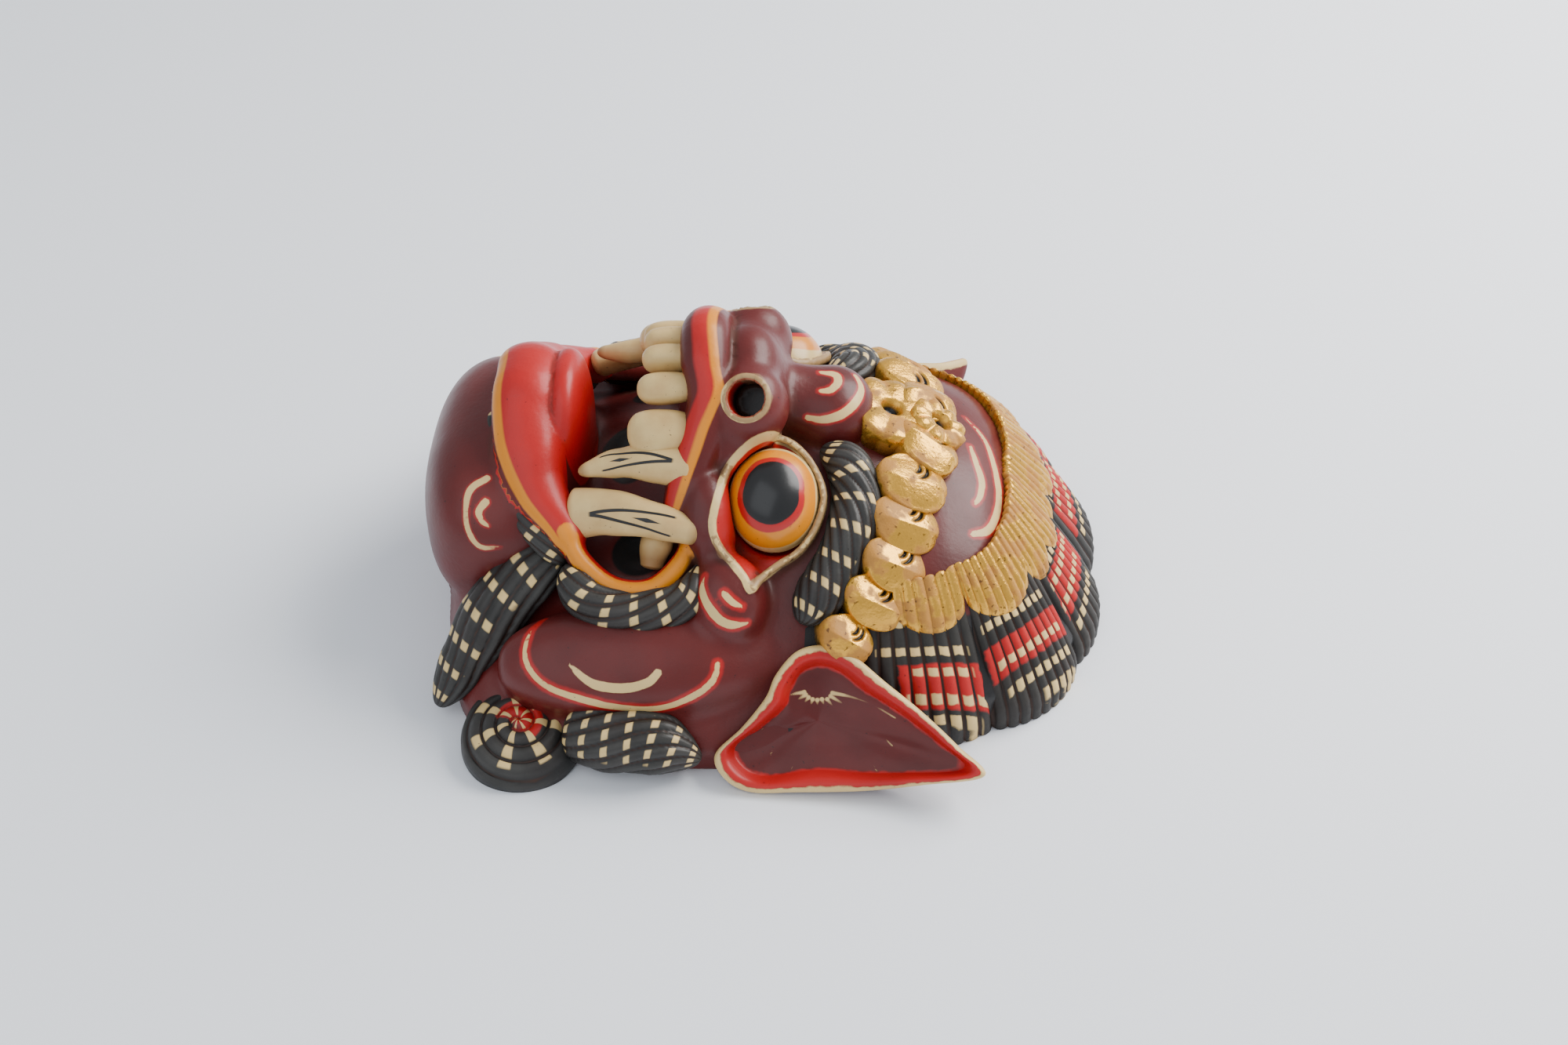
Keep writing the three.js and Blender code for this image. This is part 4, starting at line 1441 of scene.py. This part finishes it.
def paint_lips(near, colour, wobble):
    for name, (reach, bands) in LIP_BANDS.items():
        gap, angle, _ = fields(near, name)
        on_lip = (gap + wobble * 0.3).under(reach, 0.3)
        for paint, first, last in bands:
            colour = mix(on_lip * angle.over(*first) * angle.under(*last), colour, paint)
    return colour


def paint_mouth(near, colour):
    wall, tongue_gap, _ = fields(near, "hollows")
    upper_gap, lower_gap, corner_gap = [fields(near, name)[0] for name in LIP_BANDS]
    inside = wall.under(1.3, 0.4) * tongue_gap.over(1.0, 0.4) * lower_gap.over(1.2, 0.6)
    inside = inside * corner_gap.over(0.6, 0.4) * upper_gap.over(0.8, 0.5)
    return mix(tongue_gap.under(0.9, 0.4), mix(inside, colour, SOOT), RED)


def paint_nostril(near, colour):
    radius, height, _ = fields(near, "nostril")
    inside = radius.under(6.1, 0.2)
    colour = mix(radius.under(7.6, 0.2) * height.over(-4.0, 0.5), colour, CREAM)
    # The bore turns black toward its bottom: black paint, with painted shade that deepens down the hole.
    return mix(inside * height.under(-6.0, 4.0), mix(inside, colour, RED), SOOT)


def paint_socket(near, colour, wobble):
    _, _, gap = fields(near, "hollows")
    colour = mix((gap + wobble * 0.3).under(0.2, 0.3), colour, RED)
    return mix((gap + wobble * 0.4).math("ABSOLUTE").under(1.2, 0.3), colour, CREAM)


# %% The block's lacquer
near, place = start_paint("block_lacquer")
wobble = (noise(near, place, 420.0, 3.0) - 0.5) * 0.9
crevice_depth, edge, bare_wood = fields(near, "wear")
hair_bed = fields(near, "stroke")[2]
colour = mix(noise(near, place, 30.0).over(0.5, 0.3) * 0.45, MAROON, DEEP_MAROON)
colour = paint_strokes(near, colour, wobble)
colour = paint_lips(near, colour, wobble)
colour = paint_mouth(near, colour)
colour = paint_nostril(near, colour)
colour = paint_socket(near, colour, wobble)
colour = mix(hair_bed.under(0.0, 0.5), colour, BLACK)
# Brown in the crevices is dirt and painted shade.
crevice_dirt_and_shade = crevice_depth.over(1.3, 1.6)
colour = aged_and_shaded(near, place, colour, crevice_dirt_and_shade)
chips = (edge + noise(near, place, 260.0) * 1.4).over(1.9, 0.2)
colour = mix(chips * 0.7, colour, WOOD)
unpainted = bare_wood.under(1.2, 0.4)
colour = mix(unpainted, colour, WOOD)
gloss = 0.3 + noise(near, place, 80.0) * 0.25 + crevice_dirt_and_shade * 0.3 + unpainted * 0.4
height = noise(near, place, 160.0) * 0.25 + noise(near, place, 700.0) * 0.12
end_paint(near, colour, gloss, height)

# %% [markdown]
# ### Black hair with red and cream
# Rows of cream ticks cross the locks, one tick on each ridge, with a red patch in the middle of each
# lock. Rows and patches are given by their angles round the fan and their share of the way out.

# %% Painted hair
RED_PATCHES = [(58, 78.5, 0.862, 0.95), (30, 56, 0.842, 0.912), (3, 27, 0.80, 0.905)]
TICK_ROWS = [
    (75, 86, 0.773), (60, 84, 0.835), (60, 76, 0.88), (58, 77, 0.932), (60, 75, 0.97),
    (33, 55, 0.803), (32, 54, 0.888), (32, 53, 0.942), (33, 45, 0.985),
    (5, 26, 0.782), (5, 27, 0.822), (6, 27, 0.875), (6, 26, 0.935),
]

near, place = start_paint("hair_paint")
wobble = noise(near, place, 260.0) - 0.5
degrees = field(near, "degrees").math("ABSOLUTE")
share = field(near, "share") + wobble * 0.012
ridge = (field(near, "phase") * math.pi).math("SINE").math("ABSOLUTE")
# Lighter grey on the crests of the flutes: wear and painted highlight.
colour = mix(ridge.over(0.35, 0.6) * 0.6 * noise(near, place, 90.0), SOOT, HAIR_WEAR_AND_HIGHLIGHT)
for first, last, inner, outer in RED_PATCHES:
    patch = (degrees + wobble * 3).within(first, last, 0.6) * share.within(inner, outer, 0.005)
    colour = mix(patch * ridge.over(0.25, 0.2), colour, RED)
for first, last, middle in TICK_ROWS:
    row = degrees.within(first, last, 0.8) * (share - middle).math("ABSOLUTE").under(0.009, 0.003)
    colour = mix(row * ridge.over(0.5, 0.2), colour, CREAM)
# Brown at the bottoms of the flutes: dirt and painted shade.
colour = aged_and_shaded(near, place, colour, ridge.under(0.25, 0.3))
gloss = 0.42 + noise(near, place, 120.0) * 0.3
end_paint(near, colour, gloss, noise(near, place, 500.0) * 0.25, coat=0.05)

# %% Painted locks
near, place = start_paint("lock_paint")
along, around, ridge = field(near, "along"), field(near, "around"), field(near, "ridge")
# Lighter grey on the crests of the ridges: wear and painted highlight.
colour = mix(ridge.over(0.4, 0.6) * 0.6 * noise(near, place, 90.0), SOOT, LOCK_WEAR_AND_HIGHLIGHT)
row = ((along * 7.0).math("FRACT") - 0.5).math("ABSOLUTE").under(0.14, 0.05)
band = (around + (noise(near, place, 60.0) - 0.5) * 0.15).within(0.36, 0.66, 0.02)
colour = mix(row * band * ridge.over(0.6, 0.2), colour, CREAM)
# Brown at the bottoms of the ridges: dirt and painted shade.
colour = aged_and_shaded(near, place, colour, ridge.under(0.2, 0.3))
gloss = 0.34 + noise(near, place, 120.0) * 0.3
end_paint(near, colour, gloss, noise(near, place, 500.0) * 0.2, coat=0.1)

# %% Painted curls
near, place = start_paint("curl_paint")
ridge, from_centre, round_it = [field(near, name) for name in ("ridge", "from_centre", "round_it")]
# Lighter grey on the crests of the spiral: wear and painted highlight.
colour = mix(ridge.over(0.4, 0.6) * 0.6 * noise(near, place, 90.0), SOOT, LOCK_WEAR_AND_HIGHLIGHT)
colour = mix(from_centre.under(7.5, 0.5) * noise(near, place, 70.0).over(0.48, 0.06), colour, RED)
colour = mix(round_it.over(0.55, 0.2) * ridge.over(0.55, 0.2) * from_centre.under(15, 0.6), colour, CREAM)
# Brown in the spiral's groove: dirt and painted shade.
colour = aged_and_shaded(near, place, colour, ridge.under(0.25, 0.3))
gloss = 0.4 + noise(near, place, 120.0) * 0.3
end_paint(near, colour, gloss, noise(near, place, 500.0) * 0.2, coat=0.1)

# %% [markdown]
# ### Gold leaf
# The leaf is metal where it is whole and dull ochre where it is rubbed, with black painted shade in the cuts
# and in the flower's hollow eye.

# %% Gold leaf
near, place = start_paint("gold_leaf")
# Black in the cuts and in the flower's hollow eye is painted shade.
shade_in_cuts = field(near, "cuts").over(0.35, 0.3)
rubbed = noise(near, place, 130.0, 6.0).over(0.53, 0.08)
colour = mix(rubbed, GOLD, OCHRE)
colour = mix(noise(near, place, 600.0, 2.0).over(0.68, 0.05) * 0.7, colour, BROWN)
colour = mix(shade_in_cuts, colour, SOOT)
height = noise(near, place, 300.0) * 0.5 + noise(near, place, 1200.0) * 0.15
shine = (1 - rubbed) * 0.75 * (1 - shade_in_cuts)
end_paint(near, colour, 0.28 + rubbed * 0.3, height, metallic=shine, coat=0.05)

# %% [markdown]
# ### Teeth, tusks, eyes and ears
# Teeth and tusks are cream, browner toward the root, and the tusks carry a black V with a drop in
# it. The eyes are rings round the pupil. The ears have a cream rim, a red band inside it and fine
# strokes in the dish.

# %% Teeth
near, place = start_paint("tooth_cream")
colour = mix(noise(near, place, 150.0).over(0.5, 0.4) * 0.5, CREAM, TOOTH_STAIN)
colour = mix(field(near, "along").over(0.55, 0.5) * 0.7, colour, ROOT_BROWN)
colour = aged_and_shaded(near, place, colour, amount=0.15)
end_paint(near, colour, 0.32 + noise(near, place, 90.0) * 0.2, noise(near, place, 260.0) * 0.25)

# %% Tusks' paint
near, place = start_paint("tusk_cream")
along, around = field(near, "along"), field(near, "around")
colour = mix(noise(near, place, 110.0).over(0.5, 0.4) * 0.6, CREAM, TUSK_STAIN)
spread = (around - 0.52).math("ABSOLUTE")
vee = (spread - (along - 0.18) * 0.16).math("ABSOLUTE").under(0.012, 0.004) * along.within(0.2, 0.8, 0.02)
drop = (spread * 5.0 + (along - 0.62).math("ABSOLUTE")).under(0.1, 0.02)
colour = mix((vee + drop).math("MINIMUM", 1.0), colour, BLACK)
colour = mix(along.over(0.93, 0.06) * 0.6, colour, ROOT_BROWN)
colour = aged_and_shaded(near, place, colour, amount=0.15)
end_paint(near, colour, 0.34 + noise(near, place, 90.0) * 0.2, noise(near, place, 260.0) * 0.3)

# %% Eye rings
EYE_RINGS = ((9.8, ORANGE), (13.6, CREAM), (17.4, BLACK), (18.6, CREAM), (21.5, RED))

near, place = start_paint("eye_paint")
ring = field(near, "ring") + (noise(near, place, 200.0) - 0.5) * 0.5
colour = mix(ring.over(8.3, 0.2), BLACK, RED)
for edge, paint in EYE_RINGS:
    colour = mix(ring.over(edge, 0.3), colour, paint)
colour = aged_and_shaded(near, place, colour, amount=0.12)
end_paint(near, colour, 0.2 + noise(near, place, 90.0) * 0.2, noise(near, place, 300.0) * 0.1, coat=0.3)

# %% Ears' lacquer
near, place = start_paint("ear_lacquer")
inset, stroke = field(near, "inset"), field(near, "stroke")
wobble = (noise(near, place, 300.0) - 0.5) * 1.2
colour = mix(noise(near, place, 40.0).over(0.5, 0.3) * 0.4, MAROON, DEEP_MAROON)
colour = mix((inset + wobble).within(3.4, 7.2, 0.5), colour, RED)
colour = mix((inset + wobble).within(1.6, 3.4, 0.3), colour, CREAM)
colour = mix((stroke + wobble * 0.2).under(0.0, 0.3) * inset.over(7.3, 0.2), colour, CREAM)
colour = aged_and_shaded(near, place, colour)
end_paint(near, colour, 0.32 + noise(near, place, 80.0) * 0.25, noise(near, place, 300.0) * 0.25)

# %% [markdown]
# ## Finish
# Every piece gets its paint and rides the one body, and the imported part is hidden.

# %% Finish every piece
FINISHES = [
    ([block], "block_lacquer"), ([hair], "hair_paint"), ([collar, *crown], "gold_leaf"),
    (rolls, "lock_paint"), (curls, "curl_paint"), ([front_teeth], "tooth_cream"),
    *[([tusk], paint) for tusk, paint in tusks],
    (eyes, "eye_paint"), (ears, "ear_lacquer"),
]
for pieces, paint in FINISHES:
    for piece in pieces:
        finish_piece(piece, PAINTS[paint])

# %% [markdown]
# ## Sizes of the part and the model
# The size of the imported part and of the visual model are set side by side, in metres.

# %% Sizes of the part and the model
visual_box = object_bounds()
sizes = {"cad": [list(corner) for corner in cad_box], "visual": [list(corner) for corner in visual_box]}
print("visual box, mm:", [[round(value / MM, 1) for value in corner] for corner in visual_box])
